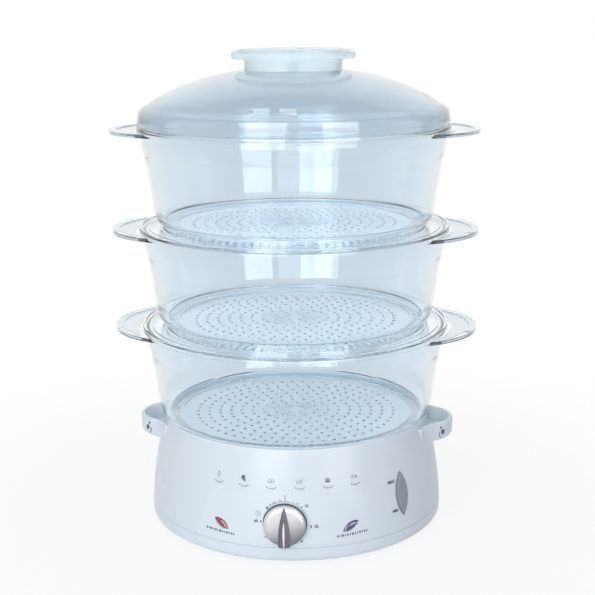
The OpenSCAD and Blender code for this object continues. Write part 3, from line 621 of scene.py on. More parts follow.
for side, name in ((-1, "left"), (1, "right")):
    cup_form = prism_form(inlet_outline(0), inlet_bottom, inlet_bottom + inlet_h)
    for z, width, segments in ((inlet_bottom, 5, 6), (inlet_bottom + inlet_h, 1.1, 3)):
        round_edges = [e for e in cup_form.edges
                       if all(abs(v.co.z - z) < 0.01 for v in e.verts)
                       and min(v.co.x for v in e.verts) > inlet_back + 1]
        bmesh.ops.bevel(cup_form, geom=round_edges, offset=width, offset_type="OFFSET",
                        segments=segments, profile=0.5, affect="EDGES", clamp_overlap=True,
                        material=-1)
    mirror = Matrix.Diagonal((side, 1, 1, 1))
    cup = new_piece("water_inlet_" + name + "_cup", place(cup_form, mirror))
    pocket = prism_form(inlet_outline(inlet_wall), inlet_bottom + inlet_floor, base_top + 9)
    combined(cup, [place(pocket, mirror), envelope_form(fit)])
    dress(cup, white_plastic)
    cup.data.materials.append(inlet_painted_light)
    # Faces deep inside the cup take the painted light.
    for face in cup.data.polygons:
        centre = face.center / MM
        reach = math.hypot(abs(centre.x) - inlet_x, centre.y)
        deep = centre.z < inlet_bottom + inlet_h - 1.5 and centre.z > inlet_bottom + 2
        inward = face.normal.x * (centre.x - side * inlet_x) + face.normal.y * centre.y < 0
        if deep and (face.normal.z > 0.9 or (inward and reach < inlet_r - inlet_wall + 1)):
            face.material_index = 1
    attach(cup, "base")
    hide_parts("water_inlet_" + name)

# Control panel: a thin satin film that is stuck to the front of the skirt, wider below than
# above. The knob and the lamps stand in it.


def dress_node(name, material):
    """Gives a carried-over CAD node its finish."""
    node = nodes[name]
    for i in range(max(1, len(node.data.materials))):
        if i < len(node.data.materials):
            node.data.materials[i] = material
        else:
            node.data.materials.append(material)


panel_film = moulded(
    "panel_film", (0.765, 0.835, 0.88), (0.725, 0.795, 0.845),
    roughness=0.32, spread=0.06, cloud=10, grain=1200, relief=0.000005, Specular_IOR_Level=0.16,
)
dress_node("control_panel", panel_film)

# Printed marks: dark blue-grey ink on the skirt and the panel. Each print is a thin raised
# line or dot that is drawn flat first and then wrapped round the skirt.
ink = moulded(
    "ink", (0.085, 0.10, 0.135), (0.12, 0.135, 0.17),
    roughness=0.5, spread=0.1, cloud=80, grain=1800,
)
ink_soft = moulded(
    "ink_soft", (0.26, 0.30, 0.37), (0.33, 0.37, 0.44),
    roughness=0.5, spread=0.1, cloud=80, grain=1800,
)
ink_rise = 0.42
ink_sink = 0.25
ink_t = ink_rise + ink_sink
ink_middle = (ink_rise - ink_sink) / 2


def drawn_form(curve):
    """Makes a form of a curve or a text, and removes the curve."""
    holder = bpy.data.objects.new(curve.name, curve)
    bpy.context.scene.collection.objects.link(holder)
    graph = bpy.context.evaluated_depsgraph_get()
    mesh = bpy.data.meshes.new_from_object(holder.evaluated_get(graph))
    form = bmesh.new()
    form.from_mesh(mesh)
    bpy.data.objects.remove(holder)
    bpy.data.curves.remove(curve)
    bpy.data.meshes.remove(mesh)
    return form


def line_form(strokes, weight):
    """Flat-ended ink lines through lists of (x, y) points, lying in the XY plane."""
    curve = bpy.data.curves.new("ink_line", "CURVE")
    curve.dimensions = "3D"
    curve.bevel_depth = weight / 2
    curve.bevel_resolution = 1
    curve.resolution_u = 4
    curve.use_fill_caps = True
    for points in strokes:
        spline = curve.splines.new("POLY")
        spline.points.add(len(points) - 1)
        for target, (x, y) in zip(spline.points, points):
            target.co = (x, y, 0, 1)
    form = drawn_form(curve)
    bmesh.ops.scale(form, vec=(1, 1, ink_t / weight), verts=form.verts)
    return form


def dot_form(x, y, rx, ry=None, turn=0):
    form = cylinder_form(1, -ink_t / 2, ink_t / 2, 20)
    return place(form, Matrix.Diagonal((rx, ry or rx, 1, 1)), turn_z(turn),
                 Matrix.Translation((x, y, 0)))


def number_form(text, x, y, size):
    """A plain number, centred on a point."""
    curve = bpy.data.curves.new("number", "FONT")
    curve.body = text
    curve.size = size
    curve.align_x = "CENTER"
    curve.align_y = "CENTER"
    curve.extrude = ink_t / 2
    curve.offset = 0.06
    curve.resolution_u = 3
    form = drawn_form(curve)
    bmesh.ops.remove_doubles(form, verts=form.verts, dist=0.0005)
    return place(form, Matrix.Translation((x, y, 0)))


def printed(name, forms, az, z, material, lift=0.0):
    """Wraps flat ink round the skirt, with its middle at an angle from the front."""
    form = merged(forms)
    for vertex in form.verts:
        x, y, w = vertex.co
        height = z + y
        radius = skirt_r(height) + lift + w + ink_middle
        angle = math.radians(az) + x / skirt_r(height)
        vertex.co = (radius * math.sin(angle), -radius * math.cos(angle), height)
    piece = new_piece(name, form)
    dress(piece, material)
    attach(piece, "base")


def arc(cx, cy, rx, ry, start, end, steps):
    """Points along an ellipse from one angle to another, in degrees."""
    return [(cx + rx * math.cos(math.radians(start + (end - start) * i / steps)),
             cy + ry * math.sin(math.radians(start + (end - start) * i / steps)))
            for i in range(steps + 1)]


# Food pictograms: six small line drawings printed above the panel, from an egg to a fish,
# each over a curved row of dashes in place of its label.
pictogram_z = 68.2
pictogram_azs = (-27, -16.2, -5.4, 5.4, 16.2, 27)
label_drop = 3.9


def label_dashes():
    """Six short dashes along a curve."""
    return [
        line_form([arc(0.4, 2.4, 5.4, 4.4, start, start + length, 3)], 1.15)
        for start, length in ((224, 10), (243, 6), (256, 13), (277, 8), (291, 11), (308, 7))
    ]


egg = [line_form([arc(0, 0.6, 1.15, 1.7, 0, 360, 16)], 0.4),
       dot_form(0, 2.2, 0.75, 0.5), line_form([[(-1.0, -1.2), (1.0, -1.2)]], 0.5)]
leg = [dot_form(-0.5, 1.1, 1.5, 1.9, -12), dot_form(0.6, -0.6, 0.8, 1.3, 20),
       line_form([[(0.5, -0.8), (1.3, -2.1)]], 0.8)]
buns = [line_form([arc(-1.0, 0, 1.5, 1.2, 0, 360, 16)], 0.38),
        line_form([arc(1.4, 0, 1.0, 1.2, 0, 360, 14)], 0.38),
        line_form([[(-2.4, -1.0), (2.4, -1.0)]], 0.4)]
bowl_mark = [line_form([arc(-0.2, 0, 2.2, 1.6, 180, 360, 12)], 0.42),
             line_form([[(-2.5, 0.1), (2.1, 0.1)]], 0.42),
             line_form([[(-0.6, 0.8), (1.1, 0.9), (2.9, 1.8)]], 0.42)]
rice = [line_form([arc(0, -0.4, 2.1, 2.0, 10, 170, 12)], 0.4),
        line_form([[(-0.9, -0.4), (-0.9, 1.2)], [(0, -0.4), (0, 1.5)], [(0.9, -0.4), (0.9, 1.2)]],
                  0.4),
        dot_form(0, -0.9, 2.2, 0.65)]
fish = [line_form([arc(-0.7, 0.3, 1.7, 1.25, 0, 360, 18)], 0.36),
        line_form([[(1.0, 0.3), (2.5, 1.3)], [(2.5, 1.3), (2.3, -0.6)], [(1.0, 0.3), (2.3, -0.6)]],
                  0.36),
        dot_form(-1.5, 0.6, 0.28)]
for i, (az, drawing) in enumerate(zip(pictogram_azs, (egg, leg, buns, bowl_mark, rice, fish))):
    printed(f"pictogram_{i + 1}", drawing, az, pictogram_z, ink if i in (1, 4) else ink_soft)
    printed(f"pictogram_dash_{i + 1}", label_dashes(), az, pictogram_z - label_drop, ink_soft)

# Timer scale: a tick at the top, numbers of minutes and dots round the knob, and a small
# clock face beside the last number, all printed on the panel.
panel_t = 0.3
number_size = 3.1
scale_dots = (
    (-3.9, 18.6, 0.5), (-8.0, 17.2, 0.45), (-9.3, 16.5, 0.5), (-11.6, 15.0, 0.55),
    (-14.3, 12.3, 0.95), (10.2, 16.2, 0.45), (13.4, 13.6, 0.5), (13.4, -14.4, 0.75),
    (-15.6, -11.4, 0.55), (20.8, -2.4, 0.62, 1.15), (-19.3, 1.2, 0.5, 1.0),
)
scale_numbers = (("10", 16.9, 14.2), ("20", 25.0, -2.6), ("60", -23.4, 1.0))
scale = [line_form([[(0, 18.5), (0, 22.6)]], 0.62)]
scale += [dot_form(*dot) for dot in scale_dots]
scale += [number_form(*number, number_size) for number in scale_numbers]
printed("timer_scale", scale, 0, knob_z, ink, panel_t)
clock_x, clock_y = -21.3, 7.2
clock_hands = [(clock_x, clock_y + 1.1), (clock_x, clock_y), (clock_x + 0.9, clock_y - 0.4)]
printed("clock_mark", [
    line_form([arc(clock_x, clock_y, 2.1, 1.7, 0, 360, 20)], 0.42),
    line_form([clock_hands], 0.36),
], 0, knob_z, ink_soft, panel_t)

# Lamp labels: a row of short plain dashes printed under each lamp in place of its words,
# slanted like the lamp itself.
label_z = lamp_z - 6.6
label_az = lamp_az + 0.6
label_start = -13
label_slant = 0.05
dash_t = 1.8
dash_gap = 1.15
dashes_long = (1.0, 0.6, 1.5, 0.7, 1.1, 0.6, 1.6, 0.8, 0.6, 1.3, 0.7, 1.0, 0.6)
for side, name in ((-1, "red"), (1, "blue")):
    slant = label_slant * side
    dashes = []
    x = label_start
    for length in dashes_long:
        dashes.append(line_form([[(x, x * slant), (x + length, (x + length) * slant)]], dash_t))
        x += length + dash_gap
    printed(f"lamp_label_{name}", dashes, side * label_az, label_z, ink, panel_t)

# Water marks: two plain words for the highest and the lowest water, printed on the skirt to
# the left of the window.
mark_size = 3.4
for word, az, z in (("MAX", 43.4, 57.3), ("MIN", 44.3, 33.0)):
    printed(f"water_mark_{word.lower()}", [number_form(word, 0, 0, mark_size)], az, z, ink)

# Pouring marks: a drop with a curved arrow, printed on the front of each inlet to show where
# water goes in.
pour_z = inlet_bottom + 8.5
pour_az = 42
for side, name in ((-1, "left"), (1, "right")):
    arrow_ends = (20, -55) if side < 0 else (160, 235)
    drawing = merged([
        dot_form(-1.7 * side, 3.9, 1.0, 1.0),
        dot_form(side * 0.6, -0.2, 1.9, 2.3, side * 20),
        line_form([arc(side * -0.2, -1.4, 3.2, 4.4, *arrow_ends, 8)], 0.8),
    ])
    for vertex in drawing.verts:
        x, y, w = vertex.co
        radius = inlet_r + w + ink_middle
        angle = side * math.radians(pour_az) + x / inlet_r
        vertex.co = (side * inlet_x + radius * math.sin(angle), -radius * math.cos(angle),
                     pour_z + y)
    mark = new_piece("pouring_mark_" + name, drawing)
    dress(mark, ink)
    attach(mark, "base")

# Timer bezel, case and shaft: a white bezel whose face is painted dark, a painted shadow of the gap
# round the knob that shows as a thin ring, the plain case of the clockwork behind it with its
# screws, and the brass shaft.
dark, darker = (0.055, 0.065, 0.075), (0.085, 0.095, 0.11)
dark_plastic = moulded("dark_plastic", dark, darker, roughness=0.35, cloud=40, grain=1200)
cream_plastic = moulded(
    "cream_plastic", (0.62, 0.58, 0.46), (0.56, 0.52, 0.41),
    roughness=0.45, spread=0.1, cloud=30, grain=900, relief=0.00002,
)
brass = moulded(
    "shaft_brass", (0.62, 0.44, 0.19), (0.55, 0.38, 0.15),
    roughness=0.28, spread=0.12, cloud=120, grain=1500, Metallic=1.0,
)
zinc_steel = moulded(
    "zinc_steel", (0.62, 0.63, 0.64), (0.50, 0.51, 0.53),
    roughness=0.32, spread=0.15, cloud=200, grain=1800, relief=0.00002, Metallic=1.0,
)
# Painted shadow: the bezel's face is dark inside its outer wall, as the shadow in the gap round the
# knob; only the wall stays white.
bezel_painted_gap_shadow = moulded("bezel_painted_gap_shadow", dark, darker, roughness=0.35, cloud=40, grain=1200)
tree = bezel_painted_gap_shadow.node_tree
where = tree.nodes.new("ShaderNodeTexCoord").outputs["Object"]
across = worked_out(tree, "VectorMath", "MULTIPLY_ADD", where, (1, 0, 1), (0, 0, -knob_z * MM))
from_middle = worked_out(tree, "VectorMath", "LENGTH", across)
at_wall = ramp(tree, from_middle, (bezel_r - 0.25) * MM, (bezel_r - 0.1) * MM, course="LINEAR")
mixed_colour(bezel_painted_gap_shadow, at_wall, second=white)
dress_node("timer_bezel", bezel_painted_gap_shadow)
dress_node("timer_case", cream_plastic)
dress_node("timer_shaft", brass)
for name in ("timer_screws", "cover_screws", "tub_screws", "lid_knob_screw", "heater_clamp"):
    dress_node(name, zinc_steel)

# Timer knob: a chromed disc with a rounded edge and straight vertical brushing, and a ridge across
# it that is narrow at the pointer end and wide and high at the bottom. Painted shade darkens the
# disc towards its lower right, the ridge's crest has a bright painted highlight and its flanks dark
# painted shade.
knob_r = knob_high.x / MM
knob_back = -knob_high.y / MM
ridge_h = 3.2
knob_len = -knob_low.y / MM - knob_back - ridge_h


def brushed_metal(name, bright, dull, roughness, streaks=1500):
    """Plated metal with fine straight streaks that run up and down the piece."""
    material = bpy.data.materials.new(name)
    material.use_nodes = True
    tree = material.node_tree
    shader = tree.nodes["Principled BSDF"]
    shader.inputs["Metallic"].default_value = 1.0
    where = tree.nodes.new("ShaderNodeTexCoord").outputs["Object"]
    stretch = tree.nodes.new("ShaderNodeMapping")
    stretch.inputs["Scale"].default_value = (streaks, streaks * 0.2, 14)
    tree.links.new(where, stretch.inputs["Vector"])
    noise = tree.nodes.new("ShaderNodeTexNoise")
    noise.inputs["Scale"].default_value = 1.0
    noise.inputs["Detail"].default_value = 4
    tree.links.new(stretch.outputs[0], noise.inputs["Vector"])
    streak = noise.outputs["Fac"]
    mixed_colour(material, streak, dull, bright)
    gloss = ramp(tree, streak, 0, 1, roughness - 0.08, roughness + 0.12, "LINEAR")
    tree.links.new(gloss, shader.inputs["Roughness"])
    scratches = tree.nodes.new("ShaderNodeBump")
    scratches.inputs["Strength"].default_value = 0.55
    scratches.inputs["Distance"].default_value = 0.00004
    tree.links.new(streak, scratches.inputs["Height"])
    tree.links.new(scratches.outputs["Normal"], shader.inputs["Normal"])
    return material


satin_chrome = brushed_metal("satin_chrome", (0.80, 0.795, 0.83), (0.58, 0.575, 0.62), 0.30)
# Lit and shaded copies of the chrome: the crest's is a painted highlight, the flanks' is painted
# shade.
chrome_crest_painted_highlight = brushed_metal("chrome_crest_painted_highlight", (0.96, 0.96, 0.98), (0.86, 0.86, 0.90), 0.24)
chrome_flank_painted_shade = brushed_metal("chrome_flank_painted_shade", (0.24, 0.235, 0.27), (0.11, 0.105, 0.135), 0.34)
# Painted shade: the disc's colour turns to dark grey towards its lower right.
tree = satin_chrome.node_tree
where = tree.nodes.new("ShaderNodeTexCoord").outputs["Object"]
slope = worked_out(tree, "VectorMath", "DOT_PRODUCT", where, (-0.35, 0, 1))
painted_sheen = ramp(tree, slope, (knob_z - knob_r * 1.1) * MM, (knob_z + knob_r * 0.5) * MM)
mixed_colour(satin_chrome, painted_sheen, first=(0.20, 0.205, 0.24))
disc = turned("knob_disc", rounded([
    (0, 0, 0), (knob_r - 0.4, 0, 0.4), (knob_r, knob_len - 2.4, 0.8),
    (knob_r - 2.2, knob_len - 0.1, 2.0), (0, knob_len + 0.35, 0),
], 5))
ridge_form = bmesh.new()
ridge_bottom, ridge_top = -knob_r + 0.6, knob_r - 1.0
ridge_foot = knob_len - 0.6
ridge_side = ridge_foot + 0.6
sections = []
for y, half, height, crest in (
    (ridge_bottom, 5.0, 2.2, 0.3), (ridge_bottom + 2.5, 5.3, 3.1, 0.6), (-6, 5.3, 3.2, 1.1),
    (-1, 4.9, 3.2, 1.0), (5, 3.9, 3.1, 0.25), (10, 2.5, 2.9, 0.2),
    (ridge_top - 1.5, 1.4, 2.2, 0.15), (ridge_top, 0.7, 1.0, 0.1),
):
    sections.append([ridge_form.verts.new((x, y, z)) for x, z in (
        (-half, ridge_foot), (-half * 0.85, ridge_side + height * 0.4),
        (-crest, ridge_side + height), (crest * 0.4, ridge_side + height),
        (half * 0.8, ridge_side + height * 0.35), (half, ridge_foot),
    )])
for low, high in zip(sections, sections[1:]):
    for i in range(len(low)):
        j = (i + 1) % len(low)
        ridge_form.faces.new((low[i], low[j], high[j], high[i]))
ridge_form.faces.new(sections[0])
ridge_form.faces.new(reversed(sections[-1]))
combined(disc, [ridge_form], "UNION", 30)
dress(disc, satin_chrome)
disc.data.materials.append(chrome_crest_painted_highlight)
disc.data.materials.append(chrome_flank_painted_shade)
ridge_above = knob_len + 0.4
# Ridge faces on the crest take the painted highlight, the rest of the ridge the painted shade.
for face in disc.data.polygons:
    x, y, z = face.center / MM
    on_crest = face.normal.z > 0.92 and y < 6 and abs(x) < 1
    face.material_index = 0 if z <= ridge_above else 1 if on_crest else 2
disc.data.transform(Matrix.Scale(MM, 4) @ facing(knob_z, knob_back) @ Matrix.Scale(1 / MM, 4))
soft_edges = disc.modifiers.new("edges", "BEVEL")
soft_edges.width = 0.25 * MM
soft_edges.segments = 2
soft_edges.limit_method = "ANGLE"
soft_edges.angle_limit = math.radians(28)
soft_edges.use_clamp_overlap = True
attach(disc, "timer")
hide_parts("timer_knob")

# Pilot lamps: leaf-shaped domed lenses, red on the left and blue on the right, each over a
# small neon bulb.


def domed_leaf(name, length, width, depth, dome, location):
    """A lens drawn up from its leaf-shaped outline, with a rounded face."""
    form = bmesh.new()
    rings = []
    for inset, height in (
        (0, -depth), (0, -0.5), (0.02, -0.2), (0.06, 0), (0.2, dome * 0.36),
        (0.45, dome * 0.72), (0.75, dome * 0.95), (0.93, dome),
    ):
        outline = leaf_outline(length - width * inset, width * (1 - inset))
        rings.append([form.verts.new((x, y, height)) for x, y in outline])
    for low, high in zip(rings, rings[1:]):
        for i in range(len(low)):
            form.faces.new((low[i - 1], low[i], high[i], high[i - 1]))
    form.faces.new(reversed(rings[0]))
    form.faces.new(rings[-1])
    return new_piece(name, place(form, location), 60)


for side, name, colour, deeper in (
    (-1, "red", (0.30, 0.035, 0.085), (0.22, 0.02, 0.06)),
    (1, "blue", (0.075, 0.07, 0.20), (0.05, 0.045, 0.15)),
):
    lens = domed_leaf(f"lens_{name}", lamp_len, lamp_w, lens_depth, lens_dome,
                      lamp_place(side) @ Matrix.Translation((0, 0, lens_rise)))
    dress(lens, moulded(
        f"{name}_lens", colour, deeper, roughness=0.12, spread=0.05, cloud=90, grain=600,
        Coat_Weight=0.6, Coat_Roughness=0.05, Specular_IOR_Level=0.6,
    ))
    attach(lens, "base")
    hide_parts("lamp_lens_" + name)
bulb_glass = moulded(
    "bulb_glass", (0.80, 0.55, 0.36), (0.72, 0.47, 0.30),
    roughness=0.15, spread=0.05, cloud=60, grain=900,
)
dress_node("lamp_bulbs", bulb_glass)

# Level window: a grey-green clear moulding in a soft gasket, with its well and two pipes
# behind the skirt. The water level shows as the step between its two shades.
window_plastic = moulded(
    "window_plastic", (0.24, 0.295, 0.315), (0.30, 0.35, 0.37),
    roughness=0.20, spread=0.06, cloud=60, grain=900,
    Coat_Weight=0.25, Coat_Roughness=0.06, Specular_IOR_Level=0.3,
)
tree = window_plastic.node_tree
heights = tree.nodes.new("ShaderNodeSeparateXYZ")
tree.links.new(tree.nodes.new("ShaderNodeTexCoord").outputs["Object"], heights.inputs[0])
above_water = ramp(tree, heights.outputs["Z"], (window_z - 3) * MM, (window_z + 4) * MM)
mixed_colour(window_plastic, above_water, second=(0.29, 0.31, 0.37))
window_depth, window_dome, window_rise = 3.8, 0.9, 0.5
window_face = domed_leaf("window_face", window_len, window_w, window_depth, window_dome,
                         window_place @ Matrix.Translation((0, 0, window_rise)))
dress(window_face, window_plastic)
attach(window_face, "base")
dress_node("level_window", window_plastic)
silicone_grey = moulded(
    "silicone_grey", (0.20, 0.24, 0.29), (0.25, 0.29, 0.34),
    roughness=0.55, spread=0.1, cloud=40, grain=1200, relief=0.00002,
)
dress_node("window_gasket", silicone_grey)

# Cord gland: a ribbed sleeve of dark plastic, pushed through the back of the skirt up to its
# flange, that the mains lead leaves through.
gland_start = 120.73
gland_end = 134.73
gland_r = 6.6
gland_bore = 3.6
gland_flange_r = 8.6
gland_flange = (126.73, 128.73)
rib_pitch = 1.8
ribs = []
y = gland_end
while y > gland_flange[1] + rib_pitch:
    ribs += [(gland_r - 0.9, y, 0.2), (gland_r - 0.9, y - rib_pitch * 0.4, 0.2),
             (gland_r - 0.2, y - rib_pitch * 0.4, 0.2), (gland_r - 0.2, y - rib_pitch, 0.2)]
    y -= rib_pitch
gland = turned("gland", rounded([(gland_bore, gland_end, 0.3)] + ribs + [
    (gland_flange_r, gland_flange[1], 0.5), (gland_flange_r, gland_flange[0], 0.2),
    (gland_r, gland_flange[0], 0.1), (gland_r, gland_start, 0.4), (gland_bore, gland_start, 0.3),
], 2), 64)
gland.data.transform(Matrix.Translation((0, 0, gland_z * MM)) @ backwards)
dress(gland, dark_plastic)
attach(gland, "base")
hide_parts("cord_gland")

# Inside the base: the grey tub that holds the water, its heater with seal, clamp and
# controls, and the wires on their terminal block.
tub_plastic = moulded(
    "grey_plastic", (0.50, 0.58, 0.63), (0.45, 0.53, 0.58),
    roughness=0.38, cloud=10, grain=900,
)
heater_steel = moulded(
    "heater_steel", (0.46, 0.47, 0.49), (0.36, 0.37, 0.39),
    roughness=0.38, spread=0.18, cloud=50, grain=1200, relief=0.00003, Metallic=1.0,
)
silicone = moulded(
    "silicone_red", (0.40, 0.12, 0.07), (0.34, 0.09, 0.055),
    roughness=0.6, spread=0.1, cloud=40, grain=1200, relief=0.00002,
)
wire_pvc = moulded(
    "wire_pvc", (0.05, 0.12, 0.36), (0.04, 0.10, 0.30),
    roughness=0.42, cloud=60, grain=1400,
)
for name, finish in (
    ("water_tub", tub_plastic), ("heating_plate", heater_steel), ("heater_seal", silicone),
    ("thermostat", cream_plastic), ("thermal_fuse", cream_plastic),
    ("terminal_block", cream_plastic), ("wiring", wire_pvc),
):
    dress_node(name, finish)

# Steam sleeve and drip tray: pale translucent mouldings under the lowest bowl. The tray
# catches what drips from the food, and steam rises through its chimney.
pale_plastic = moulded(
    "pale_plastic", (0.76, 0.84, 0.89), (0.70, 0.79, 0.85),
    roughness=0.32, grain=900,
)
dress_node("steam_sleeve", pale_plastic)
tray_t = 2
tray_rim_r = 110.4
tray_r = 97
tray_top = 84
tray_foot = 66
chimney_r = 22
chimney_top = 81
tray = turned("drip_tray_pan", rounded([
    (tray_rim_r, tray_top, 0.6), (tray_rim_r, tray_top - tray_t, 0.5),
    (tray_r, tray_top - tray_t, 0.8), (tray_r, tray_foot, 2.5), (chimney_r, tray_foot, 1),
    (chimney_r, chimney_top, 0.5), (chimney_r + tray_t, chimney_top, 0.5),
    (chimney_r + tray_t, tray_foot + tray_t, 1.5), (tray_r - tray_t, tray_foot + tray_t, 2.0),
    (tray_r - tray_t, tray_top, 0.8),
]))
dress(tray, pale_plastic)
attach(tray, "tray")
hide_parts("drip_tray")

# Bowls: three clear blue-tinted mouldings of one shape. Each has a wide ledge under its rim for the
# bowl above, a thick lip, a pair of crescent ears, a tapered wall and a spigot. The ears' flat faces
# and their upright edges take darker copies of the clear plastic as painted shade.
bowl_low, bowl_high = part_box("bowl_lower")
rim_r = bowl_high.y / MM
bowl_h = (bowl_high.z - bowl_low.z) / MM
ear_tip = bowl_high.x / MM
wall = 2.2
spigot_r = 110.6
spigot_h = 7
shoulder = bowl_h - spigot_h
hold_r = 104
hold_t = 1.5
seat_r = 108.4
ledge = 1.2
nest = 3
bead_out, bead_in, bead_up = 7.8, 9.2, 0.7
edge_painted_light = (0.90, 0.935, 0.96)
edge_blend = 0.35
light_through = 0.92


def clear_plastic(name, tint, deeper, roughness, ior, through=1.0, gloss=0.9, rim=edge_painted_light,
                  cloud=14):
    """Clear plastic: it tints what shows through it and lets light pass; where it is seen edge-on
    its colour turns to a rim colour, as painted edge light.
    """
    material = moulded(name, tint, deeper, roughness, spread=0.03, cloud=cloud, grain=160,
                       Transmission_Weight=through, IOR=ior, Coat_Weight=gloss,
                       Coat_Roughness=0.03)
    tree = material.node_tree
    # Painted edge light: the colour turns to the rim colour where the surface is seen edge-on.
    slant = tree.nodes.new("ShaderNodeLayerWeight")
    slant.inputs["Blend"].default_value = edge_blend
    mixed_colour(material, slant.outputs["Facing"], second=rim)
    rays = tree.nodes.new("ShaderNodeLightPath").outputs
    solid = worked_out(
        tree, "Math", "MULTIPLY_ADD", rays["Is Shadow Ray"], -light_through, 1.0
    )
    tree.links.new(solid, tree.nodes["Principled BSDF"].inputs["Alpha"])
    return material


bowl_plastic = clear_plastic(
    "clear_plastic", (0.765, 0.835, 0.885), (0.725, 0.805, 0.86), roughness=0.04, ior=1.16,
)
# Darker copies of the clear plastic for the ears and their upright edges: painted shade.
ear_painted_shade = clear_plastic(
    "ear_painted_shade", (0.58, 0.65, 0.69), (0.53, 0.60, 0.65), roughness=0.06, ior=1.2,
    rim=(0.58, 0.65, 0.69),
)
edge_painted_shade = clear_plastic(
    "edge_painted_shade", (0.52, 0.61, 0.68), (0.46, 0.56, 0.63), roughness=0.10, ior=1.2,
    through=0.8, rim=(0.62, 0.70, 0.77),
)
bowl_shape = turned("bowl_shape", rounded([
    (rim_r, 0, 1.0), (rim_r, -5, 0.7), (rim_r - 2.9, -5, 0.6), (rim_r - 3.4, -18, 5.8),
    (rim_r - 6.4, -25, 6), (spigot_r + 6.7, -shoulder + 5.5, 1.5),
    (spigot_r + 4.6, -shoulder, 2.6), (spigot_r, -shoulder, 0.5), (spigot_r, -bowl_h, 0.6),
    (hold_r, -bowl_h, 0.4), (hold_r, hold_t - bowl_h, 0.4), (seat_r, hold_t - bowl_h, 0.3),
    (seat_r, wall - shoulder, 0.6), (spigot_r + 2.2, wall - shoulder, 1.5),
    (spigot_r + 4.5, -shoulder + 5.5, 1.5), (rim_r - 8.6, -25.7, 6), (rim_r - 5.6, -18.7, 5.8),
    (rim_r - 5.1, -ledge - wall, 0.8), (spigot_r + 2.6, -ledge - wall, 0.5),
    (spigot_r + 2.6, -nest - wall, 0.5), (seat_r, -nest - wall, 0.4), (seat_r, -nest, 0.4),
    (spigot_r + 0.4, -nest, 0.4), (spigot_r + 0.4, -ledge, 0.5), (rim_r - bead_in, -ledge, 0.2),
    (rim_r - bead_in, bead_up - ledge, 0.3), (rim_r - bead_out, bead_up - ledge, 0.3),
    (rim_r - bead_out, -ledge, 0.2), (rim_r - 2.5, -ledge, 0.5), (rim_r - 2.5, 0, 0.8),
], 5))
ear_r = 71
ear_x = ear_tip - ear_r
ear_t = 3
ear_drop = 3.5
ear_border = 5.5
ear_web = 1.4
ear_root = 4
ear_steps = 256


def form_of(piece):
    """Takes a piece back into a form in millimetres, and removes it."""
    form = bmesh.new()
    form.from_mesh(piece.data)
    bmesh.ops.scale(form, vec=(1 / MM, 1 / MM, 1 / MM), verts=form.verts)
    bpy.data.meshes.remove(piece.data)
    return form


ear_forms = []
for side in (-1, 1):
    aside = Matrix.Translation((side * ear_x, 0, 0))
    round_ear = cylinder_form(ear_r, -ear_drop - ear_t, -ear_drop, ear_steps)
    ear = new_piece("ear", place(round_ear, aside))
    other_half = (-220, 20) if side > 0 else (-20, 220)
    cuts = [cylinder_form(rim_r - ear_root, -20, 20, ear_steps),
            block_form((other_half[0], -120, -20), (other_half[1], 120, 20))]
    for low, high in ((-20, -ear_drop - (ear_t + ear_web) / 2),
                      (-ear_drop - (ear_t - ear_web) / 2, 20)):
        web = cylinder_form(ear_r - ear_border, low, high, ear_steps)
        sunk = new_piece("web", place(web, aside))
        combined(sunk, [cylinder_form(rim_r + ear_border / 2, -30, 30, ear_steps)])
        cuts.append(form_of(sunk))
    ear_forms.append(form_of(combined(ear, cuts)))
combined(bowl_shape, ear_forms, "UNION", 32)
dress(bowl_shape, bowl_plastic)
bowl_shape.data.materials.append(edge_painted_shade)
bowl_shape.data.materials.append(ear_painted_shade)
# Faces beyond the rim are the ears: their upright edges take the darker painted shade, their flat
# faces the lighter painted shade.
for face in bowl_shape.data.polygons:
    beyond = math.hypot(face.center.x, face.center.y) / MM > rim_r + 1
    face.material_index = 0 if not beyond else 1 if abs(face.normal.z) < 0.35 else 2
rims = {name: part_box("bowl_" + name)[1].z for name in ("lower", "middle", "upper")}
bowl_bodies = {"lower": "bowl_one", "middle": "bowl_two", "upper": "bowl_three"}
for name, rim_z in rims.items():
    mesh = bowl_shape.data.copy()
    mesh.transform(Matrix.Translation((0, 0, rim_z)))
    bowl = bpy.data.objects.new("clear_bowl_" + name, mesh)
    bpy.context.scene.collection.objects.link(bowl)
    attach(bowl, bowl_bodies[name])
    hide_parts("bowl_" + name)
bpy.data.meshes.remove(bowl_shape.data)

# Perforated floors: a clear disc in each bowl, clouded with fine pale flecks that are partly its own
# clouding and partly painted glints, with rings of steam holes whose walls are painted darker as
# shade, slots round its edge, a raised rib inside the slots and a star of low ribs in its middle. It
# rests on the ledge in the bowl's spigot.
floor_r = 108
floor_t = 2
floor_rib_r = 101
floor_rib_w = 1.2
floor_rib_h = 1.5
hole_r = 1.6
hole_pitch = 9.5
hole_corners = 8
hole_margin = 6
slots = 96
slot_w = 3.6
slot_len = 6
# Its fine pale flecks are partly the disc's clouding and partly painted glints.
floor_plastic = clear_plastic(
    "floor_plastic", (0.88, 0.90, 0.915), (0.36, 0.465, 0.54), roughness=0.22, ior=1.25,
    through=0.5, gloss=0.4, rim=(0.74, 0.80, 0.84), cloud=330,
)
# Painted shade: the walls of the steam holes are painted darker, as the shade inside the holes.
hole_painted_shade = clear_plastic(
    "hole_painted_shade", (0.30, 0.38, 0.45), (0.24, 0.32, 0.39), roughness=0.3, ior=1.25,
    through=0.3, gloss=0.2, rim=(0.34, 0.42, 0.49),
)
floor_form = bmesh.new()


def ring_of(form, points):
    """A closed ring of edges through (x, y) points."""
    corners = [form.verts.new((x, y, 0)) for x, y in points]
    return [form.edges.new((corners[i - 1], corners[i])) for i in range(len(corners))]


